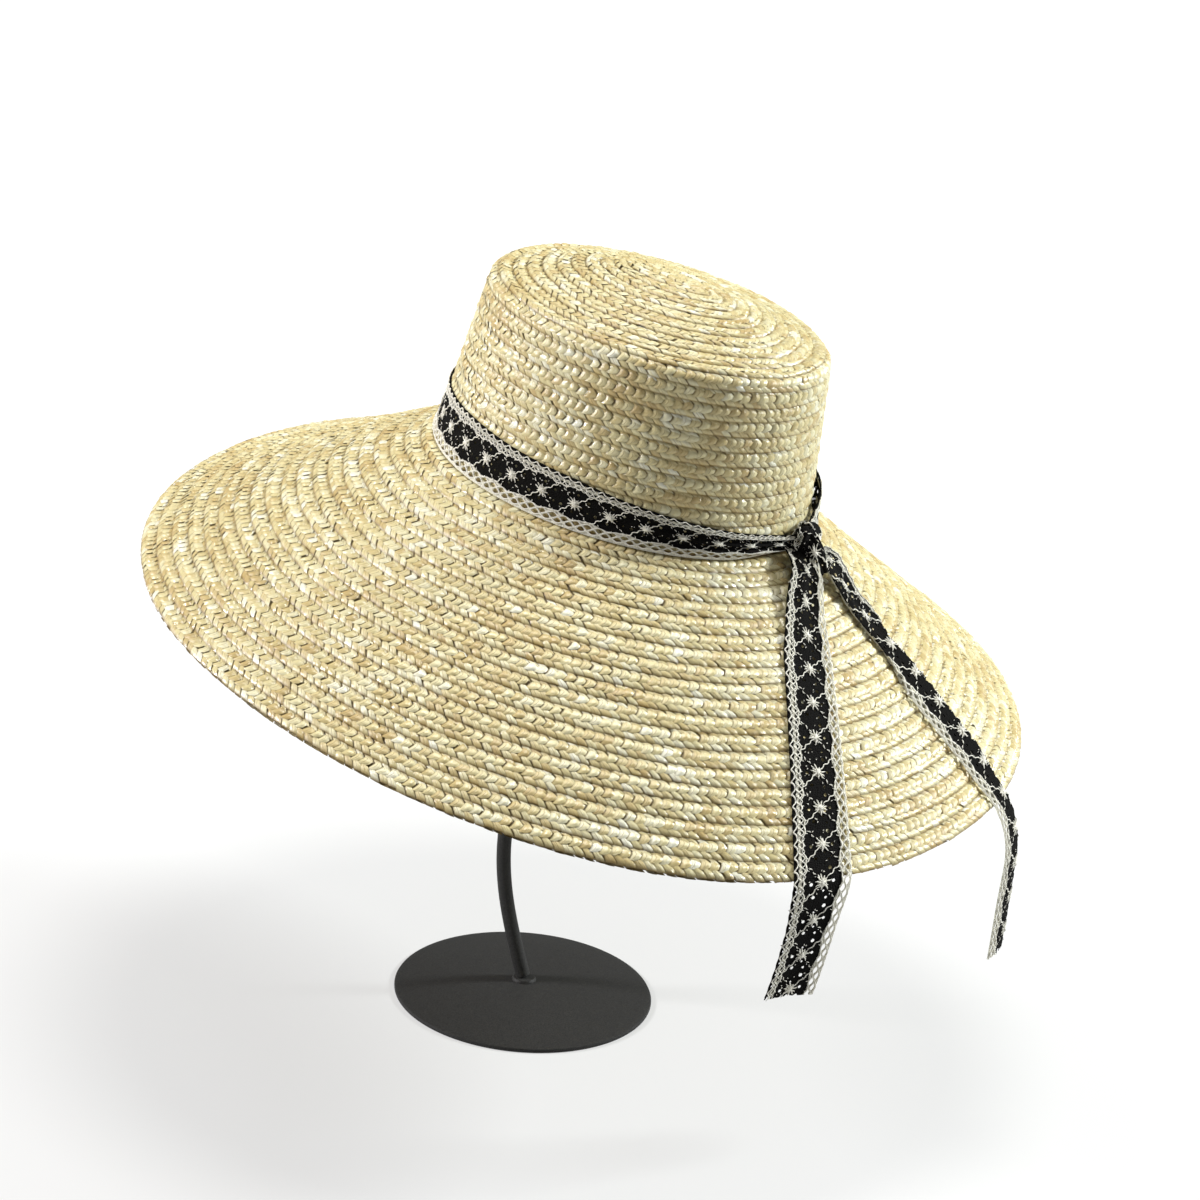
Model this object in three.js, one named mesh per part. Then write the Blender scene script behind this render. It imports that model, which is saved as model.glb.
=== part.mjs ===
// Wide straw hat on a small metal display stand, in millimetres, +Z up.
// The origin is the middle of the base's underside. The hat faces -Y, and its ribbon is knotted at the back.
import * as THREE from "three";
import { mergeVertices } from "three/addons/utils/BufferGeometryUtils.js";

// Crown: outside sizes over the braid, at its foot and up to the edge of its tip.
const CROWN_LENGTH = 198.4;
const CROWN_WIDTH = 172.8;
const CROWN_HEIGHT = 91;
const CROWN_TAPER = 9.5;
const TIP_EDGE_RADIUS = 10;
const TIP_DOME = 15;
const TIP_DOME_POWER = 1.7;
const TIP_SEAM_LENGTH = 32;
// Where the tip's rings are still so near its seam that the wall's thickness fades out of their width.
const SEAM_FADE_SHARE = 0.25;

// Brim: its reach in plan at the front and back, how much wider it is at the sides, and its fall to the rim.
const BRIM_REACH = 134.6;
const BRIM_SIDE_SHARE = 1.025;
const BRIM_DROP = 86;
// Uneven droop of the rim, as shares of the fall that follow the turn round the hat.
const BRIM_DROOP = [
  { waves: 1, back: 0.072, right: -0.085 },
  { waves: 2, back: -0.002, right: -0.01 },
  { waves: 3, back: -0.011, right: -0.032 },
];

// Braid: the wall behind the rows, how far a row stands proud of the next one, and the widths of the rows.
const STRAW_WALL = 1.7;
const ROW_STEP = 0.9;
const TIP_ROW = 7.2;
const SIDE_ROW = 7;
const BRIM_ROW = 8.4;
// Each row starts under its neighbour and swells to its own edge: along the row's width, and out of the wall.
const ROW_SECTION = [
  { along: 0.08, out: -0.5 },
  { along: 0.86, out: 0.5 },
];

// Ribbon.
const RIBBON_WIDTH = 28.5;
const RIBBON_THICKNESS = 1;
// How far the foot flares out over the brim where the band is flat, and how high its turn upwards ends.
const BAND_FLARE = 4.5;
const BAND_TURN_SHARE = 0.12;
// Height and flare of the gathered band round the crown, from the knot, towards the wearer's right first.
const BAND_GATHER = [
  { turn: 0, height: 0.3, flare: 0 },
  { turn: 8, height: 0.36, flare: 0 },
  { turn: 26, height: 0.86, flare: 0.4 },
  { turn: 60, height: 0.93, flare: 0.5 },
  { turn: 195, height: 0.93, flare: 0.4 },
  { turn: 240, height: 0.93, flare: 0.9 },
  { turn: 280, height: 0.82, flare: 1 },
  { turn: 305, height: 0.64, flare: 1 },
  { turn: 330, height: 0.46, flare: 0.9 },
  { turn: 350, height: 0.33, flare: 0 },
  { turn: 360, height: 0.3, flare: 0 },
];
const KNOT_WIDTH = 21;
const KNOT_DEPTH = 14;
const KNOT_HEIGHT = 21;
// Furrows of the knot: how many run over it, how they wind, and how deep they are as a share of its depth.
const KNOT_FURROWS = 4;
const KNOT_FURROW_WIND = 2;
const KNOT_FURROW_SHARE = 0.09;

// Tails: where each leaves the knot, as a share of its half width, and the turn at which it meets the rim
// (degrees from the back, the wearer's right positive). The length over which it bends down there, how long
// it hangs from the rim, its swing to the side and its twist.
const TAIL_NEAR = { leaves: 0.75, rimTurn: -30, bend: 14, hang: 63, swing: 8, twist: 0 };
const TAIL_FAR = { leaves: -0.75, rimTurn: 5.6, bend: 42, hang: 86, swing: 0, twist: 18 };
// The share of its hanging length in which it takes up its twist.
const TWIST_SHARE = 0.6;
// How full the ribbon's width is and how far it lifts, along its way from the knot to the rim.
const NEAR_SPREAD = [
  { along: 0, width: 0.5, lift: 0.4 },
  { along: 0.1, width: 0.72, lift: 0.14 },
  { along: 0.3, width: 0.95, lift: 0 },
  { along: 1, width: 1, lift: 0 },
];
const FAR_SPREAD = [
  { along: 0, width: 0.5, lift: 0.4 },
  { along: 0.16, width: 0.64, lift: 0.1 },
  { along: 0.4, width: 0.8, lift: 0 },
  { along: 0.58, width: 1, lift: 0 },
  { along: 1, width: 1, lift: 0 },
];

// Stand.
const BASE_DIAMETER = 140;
const BASE_EDGE = 2.2;
const BASE_HEIGHT = 8;
const WELD_RADIUS = 5.8;
const WELD_FOOT_RADIUS = 6.7;
const WELD_HEIGHT = 1.6;
const ROD_DIAMETER = 7.8;
const ROD_BOW = 19.1;
const ROD_BOW_HEIGHT = 84;
// How far the rod's bend reaches along it at each end, as a share of the height between bow and head.
const ROD_BEND_SHARE = 0.385;
const HEAD_DIAMETER = 96;
const HEAD_EDGE = 4;
const HEAD_BOSS = 7;
const HEAD_BOSS_RADIUS = 10.9;

// How the hat sits: it leans back, and the middle of its crown's foot is behind and above the base.
const HAT_LEAN = THREE.MathUtils.degToRad(9.05);
const HAT_BACK = 31.8;
const HAT_UP = 305.2;

const GAP = 0.3;
const TAIL_CLEARANCE = 3 * GAP;
// Facets, lanes and steps of the meshes, and how near two points are one.
const CROWN_SIDES = 36;
const BRIM_SIDES = 44;
const STAND_SIDES = 34;
const ROD_SIDES = 10;
const KNOT_SIDES = 18;
const KNOT_RINGS = 12;
const TAIL_LANES = 5;
const BRIM_STEPS = 11;
const HANG_STEPS = 9;
const LOW_ROD_STEPS = 8;
const HIGH_ROD_STEPS = 14;
const SEARCH_STEPS = 24;
const SAME_POINT = 1e-3;

const TURN = 2 * Math.PI;
const HALF_LENGTH = CROWN_LENGTH / 2;
const HALF_WIDTH = CROWN_WIDTH / 2;
const TIP_HALF_LENGTH = HALF_LENGTH - CROWN_TAPER - TIP_EDGE_RADIUS;
const TIP_HALF_WIDTH = HALF_WIDTH - CROWN_TAPER - TIP_EDGE_RADIUS;
const RIDGE = ROW_STEP / 2;
const INSIDE = -(RIDGE + STRAW_WALL);

const MATERIALS = {
  straw: new THREE.MeshStandardMaterial({ color: 0xd9c48d, roughness: 0.55, metalness: 0 }),
  lace: new THREE.MeshStandardMaterial({ color: 0x1b1a18, roughness: 0.9, metalness: 0 }),
  steel: new THREE.MeshStandardMaterial({ color: 0x232423, roughness: 0.5, metalness: 0.3 }),
};

const part = new THREE.Group();
const hat = new THREE.Group();
hat.rotation.x = -HAT_LEAN;
hat.position.set(0, HAT_BACK, HAT_UP);
part.add(hat);

// A point of the hat's frame on an oval: turn 0 is the back, a quarter turn is the wearer's right, -X.
function onOval(turn, halfLength, halfWidth, height) {
  return new THREE.Vector3(-halfWidth * Math.sin(turn), halfLength * Math.cos(turn), height);
}

// The value of a table's column at a place between its rows.
function tableValue(table, place, placeColumn, column) {
  const next = Math.max(1, table.findIndex((row) => row[placeColumn] >= place));
  const [before, after] = [table[next - 1], table[next]];
  const span = after[placeColumn] - before[placeColumn];
  return THREE.MathUtils.mapLinear((place - before[placeColumn]) / span, 0, 1, before[column], after[column]);
}

// One closed body through a list of rings with equally many points. A ring that has collapsed to a seam or a
// point closes the body there, loop joins the last ring to the first, and capped closes each end with a fan.
function ringBody(rings, { loop = false, capped = false } = {}) {
  const sides = rings[0].length;
  const points = rings.flat();
  const faces = [];
  const last = loop ? rings.length : rings.length - 1;
  for (let i = 0; i < last; i++) {
    const here = i * sides;
    const there = ((i + 1) % rings.length) * sides;
    for (let j = 0; j < sides; j++) {
      const k = (j + 1) % sides;
      faces.push(here + j, there + j, there + k, here + j, there + k, here + k);
    }
  }
  if (capped) {
    const end = (rings.length - 1) * sides;
    for (let j = 1; j < sides - 1; j++) {
      faces.push(0, j, j + 1);
      faces.push(end, end + j + 1, end + j);
    }
  }
  const solid = new THREE.BufferGeometry();
  solid.setAttribute("position", new THREE.Float32BufferAttribute(points.flatMap((p) => p.toArray()), 3));
  solid.setIndex(faces);
  const merged = mergeVertices(solid, SAME_POINT);
  merged.setIndex(withoutCollapsed([...merged.index.array]));
  merged.computeVertexNormals();
  return merged;
}

function withoutCollapsed(faces) {
  const kept = [];
  for (let i = 0; i < faces.length; i += 3) {
    const [a, b, c] = faces.slice(i, i + 3);
    if (a !== b && b !== c && a !== c) kept.push(a, b, c);
  }
  return kept;
}

function addMesh(group, name, geometry, material) {
  const mesh = new THREE.Mesh(geometry, material);
  mesh.name = name;
  group.add(mesh);
  return mesh;
}

// Places across the rows of a stretch of braid, each with how far the surface stands out there.
function rowStations(length, rowWidth) {
  const rows = Math.max(1, Math.round(length / rowWidth));
  const stations = [];
  for (let row = 0; row < rows; row++) {
    for (const place of ROW_SECTION) {
      stations.push({ share: (row + place.along) / rows, out: place.out * ROW_STEP });
    }
  }
  return stations;
}

// Height of the tip over the crown's foot, from its seam (0) to its edge (1).
function tipHeight(share) {
  return CROWN_HEIGHT + TIP_DOME * (1 - share ** TIP_DOME_POWER);
}

function tipSlope(share) {
  const rise = TIP_DOME * TIP_DOME_POWER * share ** (TIP_DOME_POWER - 1);
  return Math.atan(rise / TIP_HALF_WIDTH);
}

// Half length and half width of the oval that the tip reaches at a share of its way from seam to edge.
function tipOval(share, inset) {
  return {
    length: THREE.MathUtils.lerp(TIP_SEAM_LENGTH / 2, TIP_HALF_LENGTH, share) + inset,
    width: Math.max(0, TIP_HALF_WIDTH * share + inset * Math.min(1, share / SEAM_FADE_SHARE)),
  };
}

function ovalRing(sides, halfLength, halfWidth, height) {
  return Array.from({ length: sides }, (_, i) => onOval((TURN * i) / sides, halfLength, halfWidth, height));
}

function crownRing(reach, height) {
  return ovalRing(CROWN_SIDES, HALF_LENGTH + reach, HALF_WIDTH + reach, height);
}

// The crown's wall: over the tip from its seam, round the edge, down the side, and back up inside.
function crownGeometry() {
  const rings = [];
  const tipRing = (share, out) => {
    const slope = tipSlope(share);
    const oval = tipOval(share, out * Math.sin(slope));
    const height = tipHeight(share) - TIP_EDGE_DROP + out * Math.cos(slope);
    return ovalRing(CROWN_SIDES, oval.length, oval.width, height);
  };
  const edgeRing = (share, out) => {
    const from = Math.PI / 2 - tipSlope(1);
    const angle = THREE.MathUtils.lerp(from, SIDE_LEAN, share);
    const reach = TIP_EDGE_RADIUS + out;
    return crownRing(
      -CROWN_TAPER - TIP_EDGE_RADIUS + reach * Math.cos(angle),
      EDGE_CENTRE + reach * Math.sin(angle),
    );
  };
  const sideRing = (share, out) =>
    crownRing(-CROWN_TAPER * (1 - share) + out * Math.cos(SIDE_LEAN), SIDE_TOP * (1 - share));

  rings.push(tipRing(0, -RIDGE));
  for (const { share, out } of rowStations(TIP_HALF_WIDTH, TIP_ROW)) rings.push(tipRing(share, out));
  for (const share of [0.25, 0.75]) rings.push(edgeRing(share, 0));
  for (const { share, out } of rowStations(SIDE_TOP, SIDE_ROW)) rings.push(sideRing(share, out));
  rings.push(sideRing(1, 0));
  rings.push(sideRing(1, INSIDE));
  for (const share of [0.5, 0]) rings.push(sideRing(share, INSIDE));
  for (const share of [0.5, 0]) rings.push(edgeRing(share, INSIDE));
  for (const share of [0.8, 0.6, 0.4, 0.2]) rings.push(tipRing(share, INSIDE));
  rings.push(tipRing(0, INSIDE));
  return ringBody(rings);
}

// The rounded edge between tip and side: its centre's height, and the side's lean out of plumb.
const EDGE_CENTRE = CROWN_HEIGHT - TIP_EDGE_RADIUS;
const SIDE_TOP = EDGE_CENTRE;
const SIDE_LEAN = Math.atan(CROWN_TAPER / SIDE_TOP);
const TIP_EDGE_DROP = TIP_EDGE_RADIUS * (1 - Math.cos(tipSlope(1)));

addMesh(hat, "crown", crownGeometry(), MATERIALS.straw);

// The brim's droop at a turn, as a factor on its fall at the rim.
function droop(turn) {
  const waves = BRIM_DROOP.map(
    ({ waves, back, right }) => back * Math.cos(waves * turn) + right * Math.sin(waves * turn),
  );
  return waves.reduce((sum, wave) => sum + wave, 0);
}

const BRIM_SLOPE = Math.atan(BRIM_DROP / BRIM_REACH);
const BRIM_SLANT = Math.hypot(BRIM_REACH, BRIM_DROP);

// A point of the brim: share runs from the crown's foot (0) to the rim (1), and out is proud of the surface.
function brimPoint(turn, share, out) {
  const reach = BRIM_REACH * share + out * Math.sin(BRIM_SLOPE);
  const fall = BRIM_DROP * share * (1 + droop(turn) * share);
  return onOval(
    turn,
    HALF_LENGTH + reach,
    HALF_WIDTH + reach * BRIM_SIDE_SHARE,
    -GAP - RIDGE - fall + out * Math.cos(BRIM_SLOPE),
  );
}

function brimRing(share, out) {
  return Array.from({ length: BRIM_SIDES }, (_, i) => brimPoint((TURN * i) / BRIM_SIDES, share, out));
}

// The brim's wall: the inner edge under the crown's foot, out over the rows, round the rim and back below.
function brimGeometry() {
  const flange = (change, height) =>
    ovalRing(BRIM_SIDES, HALF_LENGTH + change, HALF_WIDTH + change, height);
  const rim = ROW_STEP / BRIM_REACH;
  const rings = [flange(INSIDE, -GAP), flange(0, -GAP)];
  for (const { share, out } of rowStations(BRIM_SLANT, BRIM_ROW)) rings.push(brimRing(share, out));
  rings.push(brimRing(1 - rim / 2, 0));
  rings.push(brimRing(1, INSIDE / 2));
  rings.push(brimRing(1 - rim, INSIDE));
  for (const share of [0.75, 0.5, 0.25, 0.02]) rings.push(brimRing(share, INSIDE));
  return ringBody(rings, { loop: true });
}

addMesh(hat, "brim", brimGeometry(), MATERIALS.straw);

// The band lies on the crown's rows. Its foot stands clear of the brim, and flares out over it in places.
const BAND_FOOT = RIDGE + 1.2;

function crownSideReach(height) {
  return (-CROWN_TAPER * height) / SIDE_TOP + RIDGE * Math.cos(SIDE_LEAN);
}

function bandGeometry() {
  const rings = [];
  for (let i = 0; i < CROWN_SIDES; i++) {
    const turn = (TURN * i) / CROWN_SIDES;
    const degrees = (360 * i) / CROWN_SIDES;
    const top = RIBBON_WIDTH * tableValue(BAND_GATHER, degrees, "turn", "height");
    const flare = tableValue(BAND_GATHER, degrees, "turn", "flare");
    const onCrown = (height, out) => {
      const reach = crownSideReach(height) + GAP + out;
      return onOval(turn, HALF_LENGTH + reach, HALF_WIDTH + reach, height);
    };
    const foot = (out) => {
      const flared = brimPoint(turn, BAND_FLARE / BRIM_REACH, RIDGE + GAP + out);
      return onCrown(BAND_FOOT, out).lerp(flared, flare);
    };
    const low = THREE.MathUtils.lerp(BAND_FOOT, top, BAND_TURN_SHARE);
    const middle = THREE.MathUtils.lerp(BAND_FOOT, top, 0.5);
    const inner = [onCrown(top, 0), onCrown(middle, 0), onCrown(low, 0), foot(0)];
    const outer = [foot, ...[low, middle, top].map((height) => (out) => onCrown(height, out))];
    rings.push([...outer.map((place) => place(RIBBON_THICKNESS)), ...inner]);
  }
  return ringBody(rings, { loop: true });
}

addMesh(hat, "hatband", bandGeometry(), MATERIALS.lace);

// The knot nestles where the band meets the brim, clear of both, as an ellipsoid between two planes.
function knotCentre() {
  const deep = KNOT_DEPTH / 2;
  const high = KNOT_HEIGHT / 2;
  const [leanCos, leanTan] = [Math.cos(SIDE_LEAN), Math.tan(SIDE_LEAN)];
  const [slopeSin, slopeCos, slopeTan] = [Math.sin(BRIM_SLOPE), Math.cos(BRIM_SLOPE), Math.tan(BRIM_SLOPE)];
  const fromBand = Math.hypot(deep * leanCos, high * Math.sin(SIDE_LEAN)) + GAP;
  const fromBrim = Math.hypot(deep * slopeSin, high * slopeCos) + GAP;
  const bandBack = HALF_LENGTH + crownSideReach(0) + GAP + RIBBON_THICKNESS;
  const brimFoot = -GAP - RIDGE + RIDGE * slopeCos + slopeTan * (HALF_LENGTH + RIDGE * slopeSin);
  const outOfBand = bandBack + fromBand / leanCos;
  const aboveBrim = brimFoot + fromBrim / slopeCos;
  const back = (outOfBand - aboveBrim * leanTan) / (1 - leanTan * slopeTan);
  return new THREE.Vector3(0, back, aboveBrim - slopeTan * back);
}

function knotGeometry() {
  const shape = new THREE.SphereGeometry(1, KNOT_SIDES, KNOT_RINGS);
  const position = shape.getAttribute("position");
  const place = new THREE.Vector3();
  for (let i = 0; i < position.count; i++) {
    place.fromBufferAttribute(position, i);
    const furrow = Math.cos(KNOT_FURROWS * Math.atan2(place.z, place.y) + KNOT_FURROW_WIND * place.x) ** 2;
    const waist = 1 - KNOT_FURROW_SHARE * furrow * (1 - place.x * place.x);
    place.multiplyScalar(waist);
    position.setXYZ(i, (place.x * KNOT_WIDTH) / 2, (place.y * KNOT_DEPTH) / 2, (place.z * KNOT_HEIGHT) / 2);
  }
  shape.deleteAttribute("normal");
  shape.deleteAttribute("uv");
  const merged = mergeVertices(shape, SAME_POINT);
  merged.setIndex(withoutCollapsed([...merged.index.array]));
  merged.computeVertexNormals();
  return merged;
}

const knot = addMesh(hat, "knot", knotGeometry(), MATERIALS.lace);
knot.position.copy(knotCentre());

// The brim's surface under a place in plan, found by the turn and share whose oval passes through it.
function brimShareAt(x, y) {
  let share = 0.5;
  let turn = 0;
  for (let step = 0; step < SEARCH_STEPS; step++) {
    const halfLength = HALF_LENGTH + BRIM_REACH * share;
    const halfWidth = HALF_WIDTH + BRIM_REACH * BRIM_SIDE_SHARE * share;
    turn = Math.atan2(-x / halfWidth, y / halfLength);
    share += (Math.hypot(x / halfWidth, y / halfLength) - 1) * (halfLength / BRIM_REACH);
  }
  return { turn, share };
}

function overBrim(x, y, out) {
  const { turn, share } = brimShareAt(x, y);
  return brimPoint(turn, share, RIDGE + GAP + out);
}

// Straight down, as seen from the leaning hat.
const DOWN = new THREE.Vector3(0, Math.sin(HAT_LEAN), -Math.cos(HAT_LEAN));

// A ring round the ribbon: its lanes on the underside one way, then on the upper side the other way.
function laneRing(place) {
  const offsets = Array.from({ length: TAIL_LANES }, (_, j) => (j / (TAIL_LANES - 1) - 0.5) * RIBBON_WIDTH);
  const under = offsets.map((offset) => place(offset, 0));
  const over = offsets.map((offset) => place(offset, RIBBON_THICKNESS));
  return [...under, ...over.reverse()];
}

// A ribbon end: flat along the brim on a straight way from the knot, round the rim, then hanging plumb.
function tailGeometry(tail, spread) {
  const rimTurn = THREE.MathUtils.degToRad(tail.rimTurn);
  const rim = brimPoint(rimTurn, 1, 0);
  const heart = knotCentre();
  heart.x += (tail.leaves * KNOT_WIDTH) / 2;
  const way = new THREE.Vector3(rim.x - heart.x, rim.y - heart.y, 0).normalize();
  const across = new THREE.Vector3(way.y, -way.x, 0);
  const ahead = brimPoint(rimTurn - 0.01, 1, 0).sub(rim).setZ(0);
  const alongRim = ahead.divideScalar(ahead.dot(across));
  const clear = Math.hypot((way.x * KNOT_WIDTH) / 2, (way.y * KNOT_DEPTH) / 2) + TAIL_CLEARANCE;
  const start = heart.clone().addScaledVector(way, clear);
  const rings = [];
  for (let i = 0; i <= BRIM_STEPS; i++) {
    const along = i / BRIM_STEPS;
    const width = tableValue(spread, along, "along", "width");
    const lift = tableValue(spread, along, "along", "lift") * KNOT_DEPTH;
    const middle = new THREE.Vector3().lerpVectors(start, rim, along);
    const sideways = new THREE.Vector3().lerpVectors(across, alongRim, along);
    rings.push(laneRing((offset, out) => {
      const place = middle.clone().addScaledVector(sideways, offset * width);
      return overBrim(place.x, place.y, out + lift);
    }));
  }
  const edge = rings.at(-1);
  const slopeWay = edge[2].clone().sub(rings.at(-2)[2]).normalize();
  const middle = edge[2].clone();
  for (let i = 1; i <= HANG_STEPS; i++) {
    const hung = i / HANG_STEPS;
    const step = tail.hang / HANG_STEPS;
    const turned = THREE.MathUtils.smoothstep(hung * tail.hang - step / 2, -tail.bend / 2, tail.bend);
    const heading = slopeWay.clone().lerp(DOWN, turned).normalize();
    middle.addScaledVector(heading, step).addScaledVector(across, tail.swing / HANG_STEPS);
    const twist = THREE.MathUtils.degToRad(tail.twist) * THREE.MathUtils.smoothstep(hung, 0, TWIST_SHARE);
    const side = edge[TAIL_LANES - 1].clone().sub(edge[0]).normalize();
    side.applyAxisAngle(DOWN, -twist);
    const face = new THREE.Vector3().crossVectors(side, heading).normalize();
    rings.push(laneRing((offset, out) =>
      middle.clone().addScaledVector(side, offset).addScaledVector(face, out),
    ));
  }
  return ringBody(rings, { capped: true });
}

addMesh(hat, "tail_near", tailGeometry(TAIL_NEAR, NEAR_SPREAD), MATERIALS.lace);
addMesh(hat, "tail_far", tailGeometry(TAIL_FAR, FAR_SPREAD), MATERIALS.lace);

// The base: flat below, a rounded edge, a shallow dome and the weld bead round the rod's foot.
const WELD_TOP = BASE_HEIGHT + WELD_HEIGHT;

function baseGeometry() {
  const radius = BASE_DIAMETER / 2;
  const profile = [new THREE.Vector2(0, 0), new THREE.Vector2(radius - BASE_EDGE / 3, 0)];
  profile.push(new THREE.Vector2(radius, BASE_EDGE / 3));
  profile.push(new THREE.Vector2(radius, (2 * BASE_EDGE) / 3));
  const domeShares = [0.985, 0.85, 0.65, 0.4, 0.2];
  for (const share of domeShares) {
    const up = BASE_EDGE + (BASE_HEIGHT - BASE_EDGE) * (1 - share * share);
    profile.push(new THREE.Vector2(radius * share, up));
  }
  profile.push(new THREE.Vector2(WELD_FOOT_RADIUS, BASE_HEIGHT));
  profile.push(new THREE.Vector2(WELD_RADIUS, WELD_TOP));
  profile.push(new THREE.Vector2(0, WELD_TOP));
  return closedLathe(profile, STAND_SIDES);
}

function closedLathe(profile, sides) {
  const lathe = new THREE.LatheGeometry(profile, sides);
  lathe.rotateX(Math.PI / 2);
  lathe.deleteAttribute("normal");
  lathe.deleteAttribute("uv");
  const merged = mergeVertices(lathe, SAME_POINT);
  merged.setIndex(withoutCollapsed([...merged.index.array]));
  merged.computeVertexNormals();
  return merged;
}

addMesh(part, "stand_base", baseGeometry(), MATERIALS.steel);

// The head fills the middle of the tip from below: its top follows the tip across its narrow way.
function headTop(radius) {
  const share = radius / TIP_HALF_WIDTH;
  const slope = tipSlope(share);
  return tipHeight(share) - TIP_EDGE_DROP + INSIDE / Math.cos(slope) - GAP;
}

function headGeometry() {
  const radius = HEAD_DIAMETER / 2;
  const profile = [];
  const rodSeat = headTop(radius) - HEAD_EDGE - HEAD_BOSS;
  profile.push(new THREE.Vector2(0, rodSeat));
  profile.push(new THREE.Vector2(ROD_DIAMETER, rodSeat));
  profile.push(new THREE.Vector2(HEAD_BOSS_RADIUS, rodSeat + HEAD_BOSS / 2));
  profile.push(new THREE.Vector2(radius * 0.9, headTop(radius) - HEAD_EDGE));
  profile.push(new THREE.Vector2(radius, headTop(radius) - HEAD_EDGE / 2));
  for (const share of [0.97, 0.75, 0.5, 0.25, 0]) {
    const lower = share > 0.9 ? HEAD_EDGE / 8 : 0;
    profile.push(new THREE.Vector2(radius * share, headTop(radius * share) - lower));
  }
  return { geometry: closedLathe(profile, STAND_SIDES), rodSeat };
}

const head = headGeometry();
addMesh(hat, "stand_head", head.geometry, MATERIALS.steel);

// The rod rises from the weld, bows forward, and bends back up into the head, square to it.
function rodRoute() {
  const foot = WELD_TOP + GAP;
  const bowRange = ROD_BOW_HEIGHT - BASE_HEIGHT;
  const lower = (height) => {
    const share = (height - BASE_HEIGHT) / bowRange;
    return new THREE.Vector3(0, -ROD_BOW * Math.sin((Math.PI / 2) * share), height);
  };
  const points = [];
  for (let i = 0; i <= LOW_ROD_STEPS; i++) {
    points.push(lower(THREE.MathUtils.lerp(foot, ROD_BOW_HEIGHT, i / LOW_ROD_STEPS)));
  }
  const axis = new THREE.Vector3(0, Math.sin(HAT_LEAN), Math.cos(HAT_LEAN));
  const top = new THREE.Vector3(0, HAT_BACK, HAT_UP).addScaledVector(axis, head.rodSeat - GAP);
  const bend = points.at(-1);
  const handle = (top.z - bend.z) * ROD_BEND_SHARE;
  const curve = new THREE.CubicBezierCurve3(
    bend,
    bend.clone().add(new THREE.Vector3(0, 0, handle)),
    top.clone().addScaledVector(axis, -handle),
    top,
  );
  for (let i = 1; i <= HIGH_ROD_STEPS; i++) points.push(curve.getPoint(i / HIGH_ROD_STEPS));
  return points;
}

// Rings square to the rod, but for its foot, which is cut level with the weld.
function rodGeometry() {
  const route = rodRoute();
  const radius = ROD_DIAMETER / 2;
  const rings = route.map((point, i) => {
    const before = route[Math.max(0, i - 1)];
    const after = route[Math.min(route.length - 1, i + 1)];
    const way = after.clone().sub(before).normalize();
    if (i === route.length - 1) way.set(0, Math.sin(HAT_LEAN), Math.cos(HAT_LEAN));
    const level = i === 0;
    const fore = level ? new THREE.Vector3(0, 1 / way.z, 0) : new THREE.Vector3(0, way.z, -way.y);
    return Array.from({ length: ROD_SIDES }, (_, k) => {
      const angle = (TURN * k) / ROD_SIDES;
      const ring = point.clone().addScaledVector(fore, radius * Math.cos(angle));
      ring.x += radius * Math.sin(angle);
      return ring;
    });
  });
  return ringBody(rings, { capped: true });
}

addMesh(part, "stand_rod", rodGeometry(), MATERIALS.steel);

export default part;
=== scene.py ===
# %% [markdown]
# # A wide straw hat on its display stand
# The hat is sewn from plaited straw, row beside row, from a seam on the top of the crown out to the rim.
# A ribbon of black and cream lace goes round the crown and is knotted at the back, where both ends hang over
# the brim. A bent black rod on a round base holds the hat up.
# Lengths of the hat and the stand are in millimetres, the hat's in its own frame: x to the side, back, and up.
# Only the last step of each piece turns them into Blender's metres. The floor and the lights are in metres.

# %% Load the frame
import math

import bpy
import numpy as np
from mathutils import Matrix


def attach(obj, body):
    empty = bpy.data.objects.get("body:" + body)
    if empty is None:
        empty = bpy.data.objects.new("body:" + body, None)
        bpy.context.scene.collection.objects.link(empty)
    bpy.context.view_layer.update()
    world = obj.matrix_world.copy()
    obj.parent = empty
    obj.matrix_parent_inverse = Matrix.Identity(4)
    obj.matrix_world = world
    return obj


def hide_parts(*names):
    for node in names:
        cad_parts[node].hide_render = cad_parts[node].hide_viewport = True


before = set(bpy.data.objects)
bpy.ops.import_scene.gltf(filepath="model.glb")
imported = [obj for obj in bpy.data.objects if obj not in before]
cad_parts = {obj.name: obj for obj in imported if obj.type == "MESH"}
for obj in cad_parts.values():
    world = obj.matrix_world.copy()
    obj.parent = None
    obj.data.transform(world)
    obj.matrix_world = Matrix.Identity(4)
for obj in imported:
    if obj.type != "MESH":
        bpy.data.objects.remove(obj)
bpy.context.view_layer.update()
MM = 0.001
TURN = 2 * math.pi
print("solids:", ", ".join(sorted(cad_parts)))

# %% Small helpers
def link(obj):
    bpy.context.scene.collection.objects.link(obj)
    return obj


def unit(v):
    """The same directions with a length of one."""
    return v / np.linalg.norm(v, axis=-1, keepdims=True)


def travelled(line):
    """The distance along a line of points up to each of them."""
    return np.concatenate([[0], np.cumsum(np.linalg.norm(np.diff(line, axis=0), axis=1))])


def follow(distance, way, line):
    """Points of a line at some distances along it."""
    return np.stack([np.interp(distance, way, line[:, k]) for k in range(3)], -1)


def around(count):
    """Even steps of a full turn, in radians."""
    return np.arange(count) / count * TURN


def smoothstep(x, low, high):
    t = np.clip((x - low) / (high - low), 0, 1)
    return t * t * (3 - 2 * t)


def grid_faces(blocks, rows, columns, flip=False):
    """Quads of many separate grids of points, numbered block by block."""
    corner = np.arange(rows * columns).reshape(rows, columns)
    quads = np.stack([corner[:-1, :-1], corner[1:, :-1], corner[1:, 1:], corner[:-1, 1:]], -1).reshape(-1, 4)
    if flip:
        quads = quads[:, ::-1]
    return (np.arange(blocks)[:, None, None] * rows * columns + quads).reshape(-1, 4)


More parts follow.
